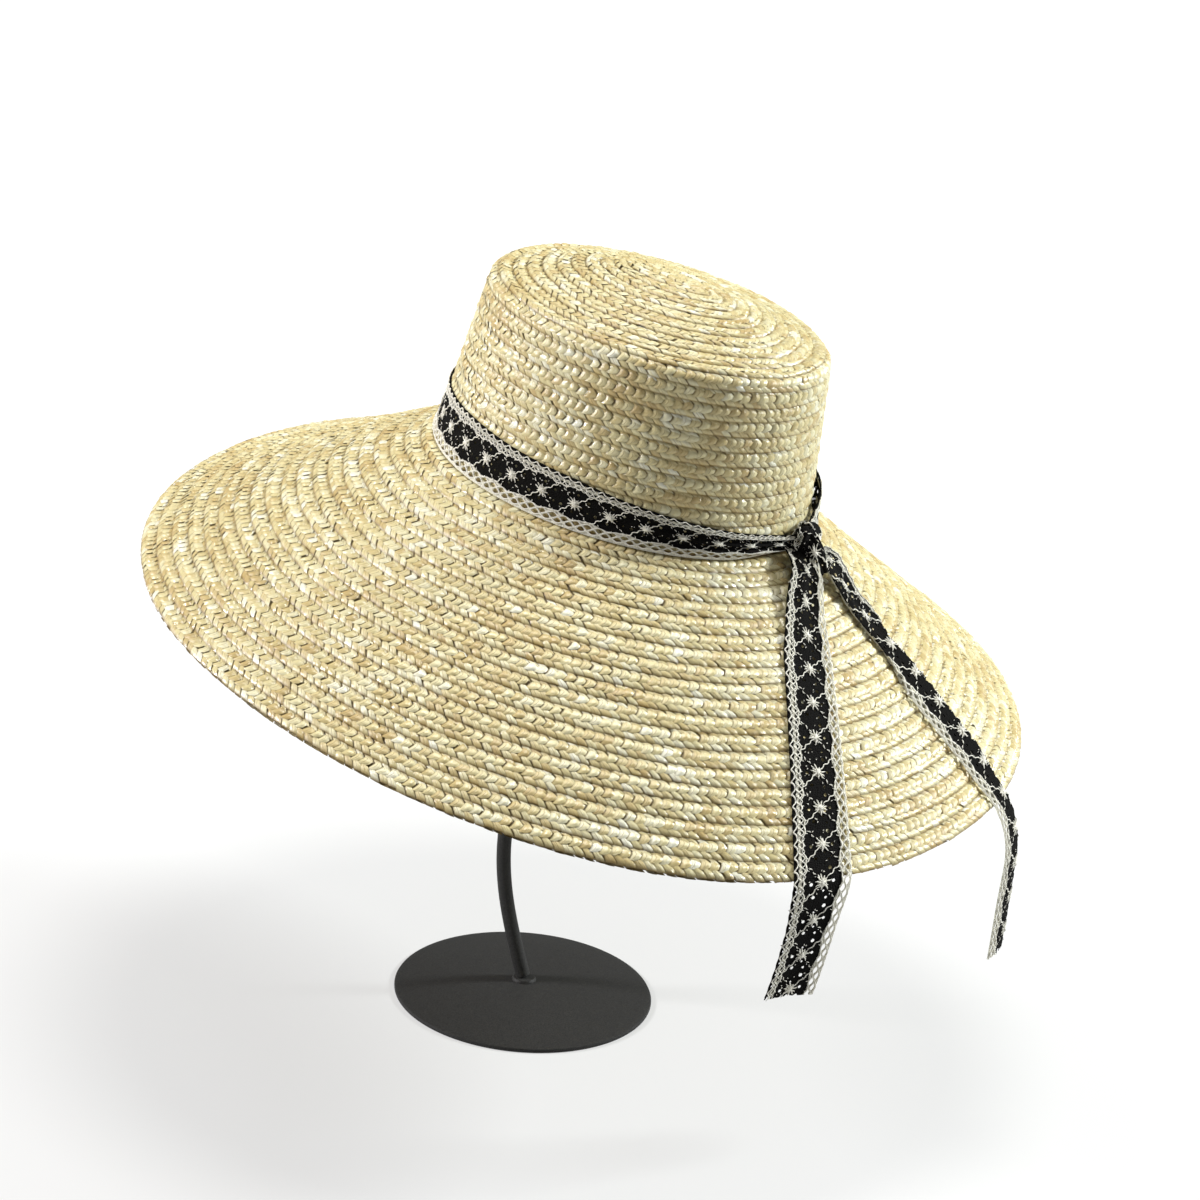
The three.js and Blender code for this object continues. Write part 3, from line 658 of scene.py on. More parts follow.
# %% Crossings of a plait
def plait(rng, place, rows, first, row_width, half_axes, columns, inside, steps):
    """Straw crossings of some rows, as arrays: points, faces, marks, the flat layout and the place in the crossing."""
    def at_steps(values):
        return np.interp(np.linspace(0, 3, steps), range(4), values)

    def downwards(values):
        return at_steps(values)[None, :, None]

    beside, bulge = at_steps(CROSSING_PLACES)[None, None], at_steps(CROSSING_SWELL)[None, None]
    down = downwards(DOWN_PLACES)
    edges = [wander(rng, ROW_WANDER) for _ in range(rows + 1)]
    points, layouts, cells = [], [], []
    marks = {"tone": [], "gleam": [], "sunk_shade": []}
    for row in range(rows):
        turns, run = oval_run(*half_axes((first + row + 0.5) * row_width))
        count = max(8, round(run[-1] / PITCH))
        pitch = run[-1] / count
        slow = wander(rng, 0.5, (3, 7, 11, 17))
        puff = wander(rng, 0.25, (4, 9, 15))
        run_tone = np.interp(np.arange(count) / STRAW_RUN, np.arange(count // 3 + 2), rng.random(count // 3 + 2))
        for column in columns:
            jitter = rng.normal(0, 1, (5, count, 1, 1))
            along = np.arange(count)[:, None, None] + column["offset"] + downwards(column["lean"])
            width = column["width"] * downwards(column["taper"]) * (1 + JITTER["width"] * jitter[1])
            along = (along + jitter[0] * JITTER["along"] + beside * width) * pitch
            across = column["top"] + (column["foot"] - column["top"]) * down
            across = across + JITTER["across"] * jitter[2] - DRAWN_IN * np.abs(beside) * (0.5 - down)
            out = np.interp(across, ROW_ACROSS, ROW_RISE) + downwards(column["lift"])
            out = out + column["swell"] * bulge * (1 + JITTER["swell"] * jitter[3])
            out = out + JITTER["sideways"] * jitter[4] * beside + JITTER["downwards"] * jitter[1] * (down - 0.5)
            across, along = np.broadcast_arrays(across, along)
            turn = turn_at(along, turns, run)
            out = out + puff(turn) * ROW_PUFF
            shift = edges[row](turn) * (1 - across) + edges[row + 1](turn) * across
            way = (first + row + across + shift) * row_width
            points.append(place(turn, way, INSIDE + INNER_SKIN - out if inside else out).reshape(-1, 3))
            own = rng.random((count, 1, 1))
            own = own + PALE_AND_GLINT * (rng.random((count, 1, 1)) > 1 - PALE_AND_GLINT_SHARE)
            tone = TONE_FROM + TONE_BY_RUN * run_tone[:, None, None] + TONE_OWN * own**1.3 + TONE_SLOW * slow(turn)
            gleam = rng.random((count, 1, 1))
            for mark, value in (("tone", np.clip(tone, 0, 1)), ("gleam", gleam), ("sunk_shade", downwards(column["sunk_shade"]))):
                marks[mark].append(np.broadcast_to(value, along.shape).ravel())
            start = rng.uniform(0, 40, (2, count, 1, 1))
            for store, pair in ((cells, (down, beside + 0.5)),
                                (layouts, (across * row_width + start[0], beside * pitch + start[1]))):
                store.append(np.stack([np.broadcast_to(value, along.shape) for value in pair], -1).reshape(-1, 2))
    points = np.concatenate(points)
    faces = grid_faces(len(points) // steps**2, steps, steps, flip=not inside)
    marks = {mark: np.concatenate(values) for mark, values in marks.items()}
    return points, faces, marks, np.concatenate(layouts), np.concatenate(cells)


# %% Rows of the crown and the brim
SEED = 358
ROWS_CROWN = 22
ROWS_TIP = 10
ROWS_BRIM = 19
CROWN_ROW = CROWN_RUN / ROWS_CROWN
BRIM_ROW = BRIM_RUN / ROWS_BRIM


def crown_axes(way):
    return np.interp(way, CROWN_WAY, CROWN_TABLE[0]), np.interp(way, CROWN_WAY, CROWN_TABLE[1])


def brim_axes(way):
    return HALF_LENGTH + BRIM_REACH * way / BRIM_RUN, HALF_WIDTH + BRIM_REACH * BRIM_SIDE_SHARE * way / BRIM_RUN


def brim_by_way(turn, way, out):
    return brim_place(turn, way / BRIM_RUN, out)


def add_plait(name, seed, place, first, rows, row_width, half_axes, inside=False):
    """A piece of some rows. Inside the hat two columns of coarser crossings do."""
    points, faces, marks, flat, cell = plait(
        np.random.default_rng(SEED + seed), place, rows, first, row_width, half_axes,
        COLUMNS[1:] if inside else COLUMNS, inside, 3 if inside else 4)
    material = straw_inside if inside else straw_outside
    add_piece(name, hat_to_frame(points), [faces], material, marks, flat, cell)


BRIM_SPLIT = 12
add_plait("tip_plait", 1, crown_place, 0, ROWS_TIP, CROWN_ROW, crown_axes)
add_plait("side_plait", 2, crown_place, ROWS_TIP, ROWS_CROWN - ROWS_TIP, CROWN_ROW, crown_axes)
add_plait("brim_plait", 3, brim_by_way, 0, BRIM_SPLIT, BRIM_ROW, brim_axes)
add_plait("rim_plait", 4, brim_by_way, BRIM_SPLIT, ROWS_BRIM - BRIM_SPLIT, BRIM_ROW, brim_axes)
add_plait("crown_inside_plait", 5, crown_place, 0, ROWS_CROWN, CROWN_ROW, crown_axes, True)
add_plait("brim_under_plait", 6, brim_by_way, 0, ROWS_BRIM, BRIM_ROW, brim_axes, True)
print(piece_triangles)

# %% [markdown]
# ## The straw behind the crossings
# Between the crossings of a real plait one sees the straws that lie a layer deeper. Here that layer is one
# closed wall in the middle of the braid, painted darker as shade, with the same ribs as the rows. It also closes
# the hat against light from behind.

# %% Inner wall
WALL_SIDES = 150
WALL_TOP = -0.55
WALL_BOTTOM = -1.55
WALL_ACROSS = np.array([0.08, 0.4, 0.85])
# The wall's marks: a tan tone, the roughest skin, and strong painted shade for lying deep.
WALL_MARKS = {"tone": 0.25, "gleam": 1.0, "sunk_shade": 0.8}


def add_wall(name, node, place, rows, row_width, start, end):
    """A closed wall under the crossings, from a start to an end, in place of a solid."""
    turn = around(WALL_SIDES)
    ways = (np.arange(rows)[:, None] + WALL_ACROSS).ravel() * row_width
    ways = np.concatenate([[start], ways[ways > start], [end]])
    rise = np.interp((ways / row_width) % 1, ROW_ACROSS, ROW_RISE) * 0.7
    upper = [place(turn, way, WALL_TOP + out) for way, out in zip(ways, rise)]
    lower = [place(turn, way, WALL_BOTTOM) for way in ways[::-4]]
    rings = np.array(upper + lower)
    flat = np.stack(np.broadcast_arrays(turn[None] * 100, np.arange(len(rings))[:, None] * 3.0), -1).reshape(-1, 2)
    marks = {mark: np.full(len(flat), value) for mark, value in WALL_MARKS.items()}
    faces = ring_faces(len(rings), WALL_SIDES, loop=True)
    wall = add_piece(name, hat_to_frame(rings.reshape(-1, 3)), [faces], straw_inside, marks, flat,
                     np.full((len(flat), 2), 0.5))
    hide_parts(node)


add_wall("crown_wall", "crown", crown_place, ROWS_CROWN, CROWN_ROW, 0.0, CROWN_END)
add_wall("brim_wall", "brim", brim_by_way, ROWS_BRIM, BRIM_ROW, -1.5, BRIM_RUN * 0.9995)
print("walls of", WALL_SIDES, "sides")

# %% [markdown]
# ## Lace ribbon, laid out flat
# The ribbon is a narrow cotton lace with a traditional star ground: black in the middle with a cream star every
# 18.5 mm, a cream net along both sides, and a black edging with cream loops along one side only.
# It is designed flat first, as one repeat. s runs along the ribbon and w across it, from the black edging
# (-14.25) to the plain net edge (14.25). Later each ribbon bends copies of the repeat into place.

# %% Lace sizes
LACE_WIDTH = 28.5
LACE_HALF = LACE_WIDTH / 2
REPEAT = 18.5
LOOP = REPEAT / 3
BLACK_FROM = -8.5
BLACK_TO = 8.7
BLACK_WAVE = 0.8
SHEET_STEP = 0.68
# The cloth's own edges, and where the plain net begins and ends.
CLOTH_EDGES = (-13.95, 14.2)
NET_EDGES = (9.2, 13.4)
NET_THREAD = 0.5
# Openings beside the edge loops and inside them: across, stretch along, stretch across, radius.
BESIDE_LOOPS = (-12.2, 1.15, 0.8, 0.62)
IN_LOOPS = (-10.2, 1.4, 1.0, 0.42)
# Round holes in the black ground: along, across, radius. The last ones are where single stitches open.
GROUND_HOLES = [
    (REPEAT / 2 - 2.4, -3.3, 0.85), (REPEAT / 2 + 2.2, 3.4, 0.95), (REPEAT / 2 - 2.0, 3.1, 0.7),
    (0.6, -5.4, 0.85), (-0.5, 5.3, 0.8), (3.9, 1.2, 0.6), (-3.8, -1.0, 0.6),
    (5.2, -5.6, 0.42), (-5.0, 5.4, 0.42), (5.6, 4.6, 0.38), (-5.6, -4.4, 0.38),
]


def nearest(s, step):
    """Distance along from the nearest of evenly spaced places, with its sign."""
    return s - step * np.round(s / step)


def net_lines(s):
    """The three wavy threads of the plain net, which meet by turns and leave diamond holes between them."""
    wave = np.cos(TURN * s / LOOP)
    return 9.55 + 0.6 * wave, 11.4 - 0.75 * wave, 13.2 + 0.5 * wave


def lace_solid(s, w):
    """Above zero where the ribbon has cloth, in millimetres from the nearest opening or edge."""
    field = np.minimum(w - CLOTH_EDGES[0], CLOTH_EDGES[1] - w)
    for along, (across, long, wide, radius) in ((np.abs(nearest(s, LOOP)) - LOOP / 2, BESIDE_LOOPS),
                                                (nearest(s - LOOP / 2, LOOP), IN_LOOPS)):
        field = np.minimum(field, np.hypot(along / long, (w - across) / wide) - radius)
    for along, across, radius in GROUND_HOLES:
        field = np.minimum(field, np.hypot(nearest(s - along, REPEAT), w - across) - radius)
    net = np.maximum(NET_THREAD - np.abs(w - np.stack(net_lines(s))).min(0), w - NET_EDGES[1])
    return np.where(w > NET_EDGES[0], np.minimum(field, net), field)


# %% Cutting the sheet
def lace_sheet(start, stop, cut=None):
    """One stretch of the sheet as flat corners (s, w) and faces, cut out along its holes."""
    columns = max(1, round((stop - start) / SHEET_STEP))
    rows = round((LACE_WIDTH + 0.8) / (SHEET_STEP * 1.05))
    along = np.linspace(start, stop, columns + 1)
    across = np.linspace(-LACE_HALF - 0.4, LACE_HALF + 0.4, rows + 1)
    grid_s, grid_w = np.meshgrid(along, across, indexing="ij")
    value = lace_solid(grid_s, grid_w)
    if cut is not None:
        value = np.minimum(value, cut(grid_s, grid_w))
    corners, faces, known = [], [], {}

    def corner(key, spot):
        if key not in known:
            known[key] = len(corners)
            corners.append(spot)
        return known[key]

    for i in range(columns):
        for j in range(rows):
            ring = [(i, j), (i + 1, j), (i + 1, j + 1), (i, j + 1)]
            if max(value[p] for p in ring) <= 0:
                continue
            face = []
            for here, there in zip(ring, ring[1:] + ring[:1]):
                if value[here] > 0:
                    face.append(corner(here, (grid_s[here], grid_w[here])))
                if (value[here] > 0) != (value[there] > 0):
                    part = value[here] / (value[here] - value[there])
                    spot = (grid_s[here] + part * (grid_s[there] - grid_s[here]),
                            grid_w[here] + part * (grid_w[there] - grid_w[here]))
                    face.append(corner(frozenset((here, there)), spot))
            if len(face) == 4:
                faces.append(tuple(face))
            else:
                faces.extend((face[0], face[k], face[k + 1]) for k in range(1, len(face) - 1))
    return np.array(corners), faces


# %% [markdown]
# ## Lace threads
# The cream pattern is raised yarn, not print: loops along the edge, a wavy line beside each net, the net's own
# threads, a star with uneven arms, and long wavering threads that tie each star to the nets. Two of those dive
# under the black stitches and come up again, so they show as dashes. Each is a thin tube along a short line.

# %% Tubes and wavering lines
THREAD = 0.3
THREAD_SIDES = 4
STAR_ARMS = 11
# An edge loop: out from the net, round a tight bend at the edge, and back in.
EDGE_LOOP = [
    (-2.9, -12.3), (-1.7, -12.7), (-0.9, -13.5), (-0.1, -13.95),
    (0.5, -13.6), (0.9, -13.0), (1.7, -12.5), (3.27, -12.3),
]


def direction(angle):
    return np.array([math.cos(angle), math.sin(angle)])


def tube(line, radius, ends=0.45):
    """A thin tube along points (s, w, height), laid out flat."""
    line = np.asarray(line, float)
    ahead = np.gradient(line, axis=0)
    ahead[:, 2] = 0
    ahead /= np.maximum(np.linalg.norm(ahead, axis=1, keepdims=True), 1e-9)
    side = np.stack([-ahead[:, 1], ahead[:, 0], np.zeros(len(line))], 1)
    size = np.full(len(line), radius)
    size[[0, -1]] *= ends
    angle = (np.arange(THREAD_SIDES) + 0.5) / THREAD_SIDES * TURN
    ring = side[:, None] * np.cos(angle)[None, :, None] + np.array([0, 0, 1.0]) * np.sin(angle)[None, :, None]
    points = line[:, None] + ring * size[:, None, None]
    return points.reshape(-1, 3), ring_faces(len(line), THREAD_SIDES)


def wavy(rng, start, stop, steps, amount, waves):
    """A wavering line between two places on the ribbon."""
    start, stop = np.array(start, float), np.array(stop, float)
    share = np.linspace(0, 1, steps)
    side = np.array([-(stop - start)[1], (stop - start)[0]]) / np.linalg.norm(stop - start)
    swing = amount * np.sin(TURN * waves * share + rng.uniform(0, TURN)) * np.sin(math.pi * share) ** 0.3
    flat = start + (stop - start) * share[:, None] + side * swing[:, None]
    return np.column_stack([flat, np.full(steps, 0.42)])


# %% Threads of one repeat
def thread_repeat(seed):
    """All raised threads of one repeat, joined: corners (s, w, height) and faces."""
    rng = np.random.default_rng(seed)
    lines = []
    share = np.linspace(0, 1, 8)
    for loop in range(3):
        middle = (loop - 1) * LOOP
        swing = rng.normal(0, 0.12, 3)
        outline = [(middle + a + swing[0], w + 0.5 * swing[1], 0.85) for a, w in EDGE_LOOP]
        lines.append((np.array(outline), THREAD * 1.15))
        # The wavy line where the net meets the black, with a stub across each border of the black.
        part = np.linspace(-0.5, 0.5, 6)
        run = middle + part * LOOP
        wave = BLACK_FROM - 0.4 - BLACK_WAVE * np.cos(TURN * run / REPEAT) + 0.5 * np.cos(TURN * part)
        lines.append((np.column_stack([run, wave, np.full(6, 0.45)]), THREAD))
        stub = middle + rng.uniform(-0.6, 0.6)
        edge = BLACK_WAVE * math.cos(TURN * stub / REPEAT)
        for at, foot, tip, lean in ((stub, BLACK_FROM - 0.3 - edge, BLACK_FROM + 1.2 - edge, (-0.4, 1.0)),
                                    (stub + 2, BLACK_TO + 0.5 + edge, BLACK_TO - 1.0 + edge, (-0.6, 0.6))):
            lines.append((wavy(rng, (at, foot), (at + rng.uniform(*lean), tip), 3, 0.1, 1), THREAD * 0.9))
        # Two threads that cross in the closer net.
        for way in (-1, 1):
            cross = np.column_stack([middle + (share - 0.5) * LOOP,
                                     -10.3 + way * 1.6 * np.cos(TURN * share), np.full(8, 0.35 + 0.1 * way)])
            lines.append((cross, THREAD * 0.95))
        # The plain net's threads and the wavy line beside the black.
        run = middle + (share - 0.5) * LOOP
        for number, line in enumerate(net_lines(run)):
            lines.append((np.column_stack([run, line, np.full(8, 0.4 + 0.08 * number)]), THREAD * 1.05))
        border = BLACK_TO + 0.15 + BLACK_WAVE * np.cos(TURN * run / REPEAT) + 0.35 * np.cos(TURN * share + 2)
        lines.append((np.column_stack([run, border, np.full(8, 0.5)]), THREAD * 0.9))
    # The star: a tuft of threads from the middle, no two alike.
    for arm in range(STAR_ARMS):
        angle = (arm + rng.uniform(-0.3, 0.3)) / STAR_ARMS * TURN
        reach = rng.uniform(2.7, 4.0) * (1.12 if arm % 3 == 0 else 1.0)
        tip = direction(angle)
        lines.append((wavy(rng, tip * 0.2, tip * reach, 5, 0.28, rng.uniform(0.7, 1.3)), THREAD * 1.1))
    for _ in range(5):
        tip = direction(rng.uniform(0, TURN))
        knot = wavy(rng, -tip * 1.5, tip * 1.7, 4, 0.35, 0.6)
        knot[:, 2] += 0.3
        lines.append((knot, THREAD * 1.15))
    # The four long threads from the star to the nets. Two of them are seen only as dashes.
    for way_s, way_w, dashed in ((1, -1, False), (-1, 1, False), (1, 1, True), (-1, -1, True)):
        far = BLACK_FROM if way_w < 0 else BLACK_TO
        line = wavy(rng, (way_s * 2.0, way_w * 1.8), (way_s * REPEAT / 2 * 0.98, far + 0.4 * way_w), 12, 0.5, 2.4)
        lines.extend([(line[k:k + 3], THREAD * 0.95) for k in (0, 3, 6, 9)] if dashed else [(line, THREAD)])
    # Single stitches that show as dots.
    for _ in range(10):
        s, w = rng.uniform(-REPEAT / 2, REPEAT / 2), rng.uniform(BLACK_FROM + 1.4, BLACK_TO - 1.4)
        if math.hypot(s, w) < 3.6:
            continue
        step = direction(rng.uniform(0, TURN)) * rng.uniform(0.15, 0.5)
        dot = [(s - step[0], w - step[1], 0.3), (s, w, 0.5), (s + step[0], w + step[1], 0.3)]
        lines.append((np.array(dot), THREAD))
    corners, faces, offset = [], [], 0
    for line, radius in lines:
        points, quads = tube(line, radius)
        corners.append(points)
        faces.append(quads + offset)
        offset += len(points)
    return np.concatenate(corners), np.concatenate(faces)


THREAD_REPEATS = [thread_repeat(SEED + 40 + number) for number in range(5)]
SHEET_REPEAT = lace_sheet(-REPEAT / 2, REPEAT / 2)
print("one repeat:", len(SHEET_REPEAT[1]), "faces of cloth,", len(THREAD_REPEATS[0][1]), "faces of thread")

# %% [markdown]
# ## Lace materials
# The ground is crocheted: small tight stitches, seen as a fine pebbled relief. Its colours follow the flat
# layout, so the shader repeats the same border waves and the star's soft heart as the threads. Cotton is dull.
# Each cotton is painted darker in the hollows of its stitches and lighter on their tops, a faint warm grey on
# the black: painted shade and sheen. The raised yarn has a fine twist, painted darker between its fibres.

# %% Crochet group
def crochet():
    """The relief of small round stitches, from the flat layout."""
    tree, given, out = new_group(
        "Crochet stitches",
        [("Layout", "Vector", None), ("Scale", "Float", 1.0)],
        [("Relief", "Float")],
    )
    cells = tree.nodes.new("ShaderNodeTexVoronoi")
    cells.voronoi_dimensions = "2D"
    cells.inputs["Randomness"].default_value = 0.65
    tree.links.new(given.outputs["Layout"], cells.inputs["Vector"])
    tree.links.new(given.outputs["Scale"], cells.inputs["Scale"])
    fall = math_node(tree, "MULTIPLY", cells.outputs["Distance"], 1.2)
    tree.links.new(math_node(tree, "SUBTRACT", 1.0, fall, clamp=True), out.inputs["Relief"])
    return tree


# %% Black ground group
def black_ground():
    """Mask of the black parts of the ribbon, from its flat layout in millimetres."""
    tree, given, out = new_group(
        "Black ground",
        [("Layout", "Vector", None), ("Repeat", "Float", REPEAT),
         ("From", "Float", BLACK_FROM), ("To", "Float", BLACK_TO)],
        [("Mask", "Float")],
    )
    split = tree.nodes.new("ShaderNodeSeparateXYZ")
    tree.links.new(given.outputs["Layout"], split.inputs[0])
    s, w = split.outputs["X"], split.outputs["Y"]
    phase = math_node(tree, "DIVIDE", s, given.outputs["Repeat"])
    wave = math_node(tree, "MULTIPLY", math_node(tree, "COSINE", math_node(tree, "MULTIPLY", phase, TURN)), BLACK_WAVE)
    above = math_node(tree, "GREATER_THAN", math_node(tree, "ADD", w, wave), given.outputs["From"])
    below = math_node(tree, "LESS_THAN", math_node(tree, "SUBTRACT", w, wave), given.outputs["To"])
    along = math_node(tree, "SUBTRACT", phase, math_node(tree, "ROUND", phase))
    along = math_node(tree, "MULTIPLY", along, REPEAT)
    star = math_node(tree, "ADD", math_node(tree, "MULTIPLY", along, along), math_node(tree, "MULTIPLY", w, w))
    off_star = math_node(tree, "GREATER_THAN", star, 5.0)
    # The closer net is black but for its middle line.
    centre = math_node(tree, "ABSOLUTE", math_node(tree, "ADD", w, 10.7))
    edging = math_node(tree, "MULTIPLY", math_node(tree, "LESS_THAN", w, -8.4),
                       math_node(tree, "GREATER_THAN", centre, 0.75))
    inner = math_node(tree, "MULTIPLY", math_node(tree, "MULTIPLY", above, below), off_star)
    tree.links.new(math_node(tree, "ADD", inner, edging, clamp=True), out.inputs["Mask"])
    return tree


CROCHET = crochet()
BLACK_GROUND = black_ground()
print("node groups:", CROCHET.name, "and", BLACK_GROUND.name)

# %% Cottons
# Each cotton in the hollows of its stitches or between its fibres, darker as painted shade, and on top,
# lighter as painted sheen.
CREAM_COTTON = ((0.66, 0.64, 0.53, 1), (0.90, 0.88, 0.78, 1))
BLACK_COTTON = ((0.0015, 0.0014, 0.0012, 1), (0.0055, 0.005, 0.0045, 1))
CREAM_YARN = ((0.74, 0.715, 0.61, 1), (0.95, 0.935, 0.87, 1))


def lace_material(name="lace ground", black_only=False):
    material, tree = shader_material(name)
    spot = layout(tree)
    relief = place_group(tree, CROCHET, Layout=spot, Scale=1.15).outputs["Relief"]
    # Painted shade in the stitches' hollows, painted sheen on their tops.
    colour = mix_colour(tree, relief, *BLACK_COTTON)
    if not black_only:
        mask = place_group(tree, BLACK_GROUND, Layout=spot).outputs["Mask"]
        colour = mix_colour(tree, mask, mix_colour(tree, relief, *CREAM_COTTON), colour)
    set_shader(tree, {"Base Color": colour, "Roughness": 0.85, "Specular IOR Level": 0.1,
                      "Normal": bump(tree, relief, 0.8, 0.0005)})
    return material


def yarn_material():
    material, tree = shader_material("cream yarn")
    lines = place_group(tree, FIBRE_LINES, Layout=layout(tree), Along=2.6, Across=2.6, Contrast=1.4).outputs[0]
    # Painted shade between the yarn's fibres.
    set_shader(tree, {"Base Color": mix_colour(tree, lines, *CREAM_YARN), "Roughness": 0.8,
                      "Specular IOR Level": 0.25, "Normal": bump(tree, lines, 0.5, 0.0002)})
    return material


lace_ground = lace_material()
black_cloth = lace_material("black lace ground", black_only=True)
cream_yarn = yarn_material()
print("lace materials:", lace_ground.name, black_cloth.name, cream_yarn.name)

# %% [markdown]
# ## Bending the lace into place
# One function copies the repeat along a ribbon, from one distance to another, and bends every corner with the
# ribbon's own place function. A loose end gets an uneven cut with frayed tufts.

# %% Lace builder
LACE_LIFT = 0.65
# The black cord along the edging: its radius, and where it lies across the ribbon and in the flat layout.
EDGE_TUBE = 0.62
EDGE_ACROSS = -13.35
EDGE_LAYOUT = -13.4
FRAYS = 40


def ribbon_ground(start, stop, phase, frayed):
    """Cloth of a ribbon: corners (s, w), and faces of three and of four corners."""
    jags = np.random.default_rng(SEED + int(stop)).uniform(-1.3, 0.6, FRAYS)
    first = math.floor((start - phase) / REPEAT + 0.5)
    last = math.ceil((stop - phase) / REPEAT - 0.5)
    corners, faces, offset = [], {3: [], 4: []}, 0
    for number in range(first, last + 1):
        middle = phase + number * REPEAT

        def cut(s, w, middle=middle):
            """Above zero between the ribbon's two ends."""
            end = stop - middle + (np.interp(w, np.linspace(-LACE_HALF, LACE_HALF, FRAYS), jags) if frayed else 0)
            return np.minimum(end - s, s - (start - middle))

        if start <= middle - REPEAT / 2 and middle + REPEAT / 2 <= stop - (2 if frayed else 0):
            flat, tile = SHEET_REPEAT
        else:
            low, high = max(-REPEAT / 2, start - middle - 0.1), min(REPEAT / 2, stop - middle + 1.0)
            if high - low < 0.3:
                continue
            flat, tile = lace_sheet(low, high, cut)
            if not len(flat):
                continue
        corners.append(flat + [middle, 0])
        for face in tile:
            faces[len(face)].append([index + offset for index in face])
        offset += len(flat)
    return np.concatenate(corners), [np.array(group) for group in faces.values() if group]


# %% Pieces of a ribbon
def add_tubes(name, place, spots, quads, material, flat):
    """Tubes laid out as (s, w, height) on a ribbon and bent with it."""
    return add_piece(name, hat_to_frame(place(*spots.T)), [quads], material, flat=flat)


def add_lace(name, place, start, stop, phase=0.0, frayed=False, edging=True,
             material=lace_ground):
    """A ribbon of lace: its cloth, its cream threads and its black edging cord. Returns the cloth."""
    flat, faces = ribbon_ground(start, stop, phase, frayed)
    points = hat_to_frame(place(flat[:, 0], flat[:, 1], np.zeros(len(flat))))
    cloth = add_piece(name + "_ground", points, faces, material, flat=flat - [phase, 0])
    rng = np.random.default_rng(SEED + int(stop) + 7)
    corners, quads, offset = [], [], 0
    for number in range(math.floor((start - phase) / REPEAT), math.ceil((stop - phase) / REPEAT) + 1):
        spots, faces = THREAD_REPEATS[rng.integers(len(THREAD_REPEATS))]
        spots = spots + [phase + number * REPEAT, 0, 0]
        inside = ((spots[faces][..., 0] > start) & (spots[faces][..., 0] < stop)).all(1)
        corners.append(spots)
        quads.append(faces[inside] + offset)
        offset += len(spots)
    used, quads = np.unique(np.concatenate(quads), return_inverse=True)
    spots = np.concatenate(corners)[used]
    extras = [add_tubes(name + "_threads", place, spots, quads.reshape(-1, 4), cream_yarn,
                        spots[:, :2] + spots[:, 2:] * 0.7)]
    if edging:
        run = np.arange(start, stop, 1.0)
        across = EDGE_ACROSS + 0.2 * np.cos(TURN * (run - phase) / LOOP)
        spots, quads = tube(np.column_stack([run, across, np.full(len(run), 0.1)]), EDGE_TUBE)
        extras.append(add_tubes(name + "_edging", place, spots, quads, lace_ground,
                                np.column_stack([spots[:, 0], np.full(len(spots), EDGE_LAYOUT)])))
    return cloth


# %% [markdown]
# ## Hatband
# The ribbon goes once round the foot of the crown. Its lower edge spreads on the brim, and towards the knot the
# whole width is drawn together. The table is the one of the solid: by degrees round the hat, the height that the
# band keeps as a share of its width, and how far its foot flares out.

# %% Band place
BAND_FOOT = RIDGE + 0.8
BAND_FLARE = 2.2
BAND_TURN_SHARE = 0.12
# Below this share of its width the band spreads on the brim.
BAND_SPREAD_SHARE = 0.17
BAND_PLEAT = 1.9
# How far the band comes forward: into the knot, and in a small puff just beyond it. Each by degrees from the knot:
# height, where, and how wide.
BAND_PUFFS = [(4.2, 0, 8), (3.0, 19, 9)]
BAND_GATHER = np.array([
    (0, 0.3, 0), (8, 0.36, 0), (26, 0.86, 0.4), (60, 0.93, 0.5), (195, 0.93, 0.4), (240, 0.93, 0.9), (280, 0.82, 1),
    (305, 0.64, 1), (330, 0.46, 0.9), (350, 0.33, 0), (360, 0.3, 0),
])


def on_crown_side(turn, height, out):
    reach = -CROWN_TAPER * height / SIDE_TOP + RIDGE * math.cos(SIDE_LEAN) + GAP + out
    return on_oval(turn, HALF_LENGTH + reach, HALF_WIDTH + reach, height)


BAND_TURNS, BAND_WAY = oval_run(HALF_LENGTH, HALF_WIDTH)
BAND_RUN = float(BAND_WAY[-1])
band_repeats = round(BAND_RUN / REPEAT)
BAND_STRETCH = BAND_RUN / (band_repeats * REPEAT)


def band_place(s, w, h):
    turn = turn_at(s * BAND_STRETCH, BAND_TURNS, BAND_WAY)
    degrees = np.degrees(turn) % 360
    keep = np.interp(degrees, BAND_GATHER[:, 0], BAND_GATHER[:, 1])
    flare = np.interp(degrees, BAND_GATHER[:, 0], BAND_GATHER[:, 2])[..., None]
    up = np.clip((LACE_HALF - w) / LACE_WIDTH, -0.03, 1.03)
    pleat = BAND_PLEAT * np.clip((0.85 - keep) / 0.5, 0, 1) * (1 - np.cos(TURN * 3 * up)) / 2
    from_knot = (degrees + 180) % 360 - 180
    out = LACE_LIFT + h + pleat + sum(high * np.exp(-((from_knot - at) / wide) ** 2) for high, at, wide in BAND_PUFFS)
    top = LACE_WIDTH * keep
    low = BAND_FOOT + (top - BAND_FOOT) * BAND_TURN_SHARE
    foot = on_crown_side(turn, BAND_FOOT, out)
    flared = brim_place(turn, BAND_FLARE / BRIM_REACH, RIDGE + GAP + out)
    foot = foot + (flared - foot) * flare
    knee = on_crown_side(turn, low, out)
    climb = np.clip((up - BAND_SPREAD_SHARE) / (1 - BAND_SPREAD_SHARE), 0, 1.1)
    rest = on_crown_side(turn, low + (top - low) * climb, out)
    below = foot + (knee - foot) * np.clip(up / BAND_SPREAD_SHARE, -0.2, 1)[..., None]
    return np.where((up < BAND_SPREAD_SHARE)[..., None], below, rest)


band_ground = add_lace("band", band_place, 0.0, band_repeats * REPEAT, phase=1.5)
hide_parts("hatband")
print("hatband of", band_repeats, "repeats")

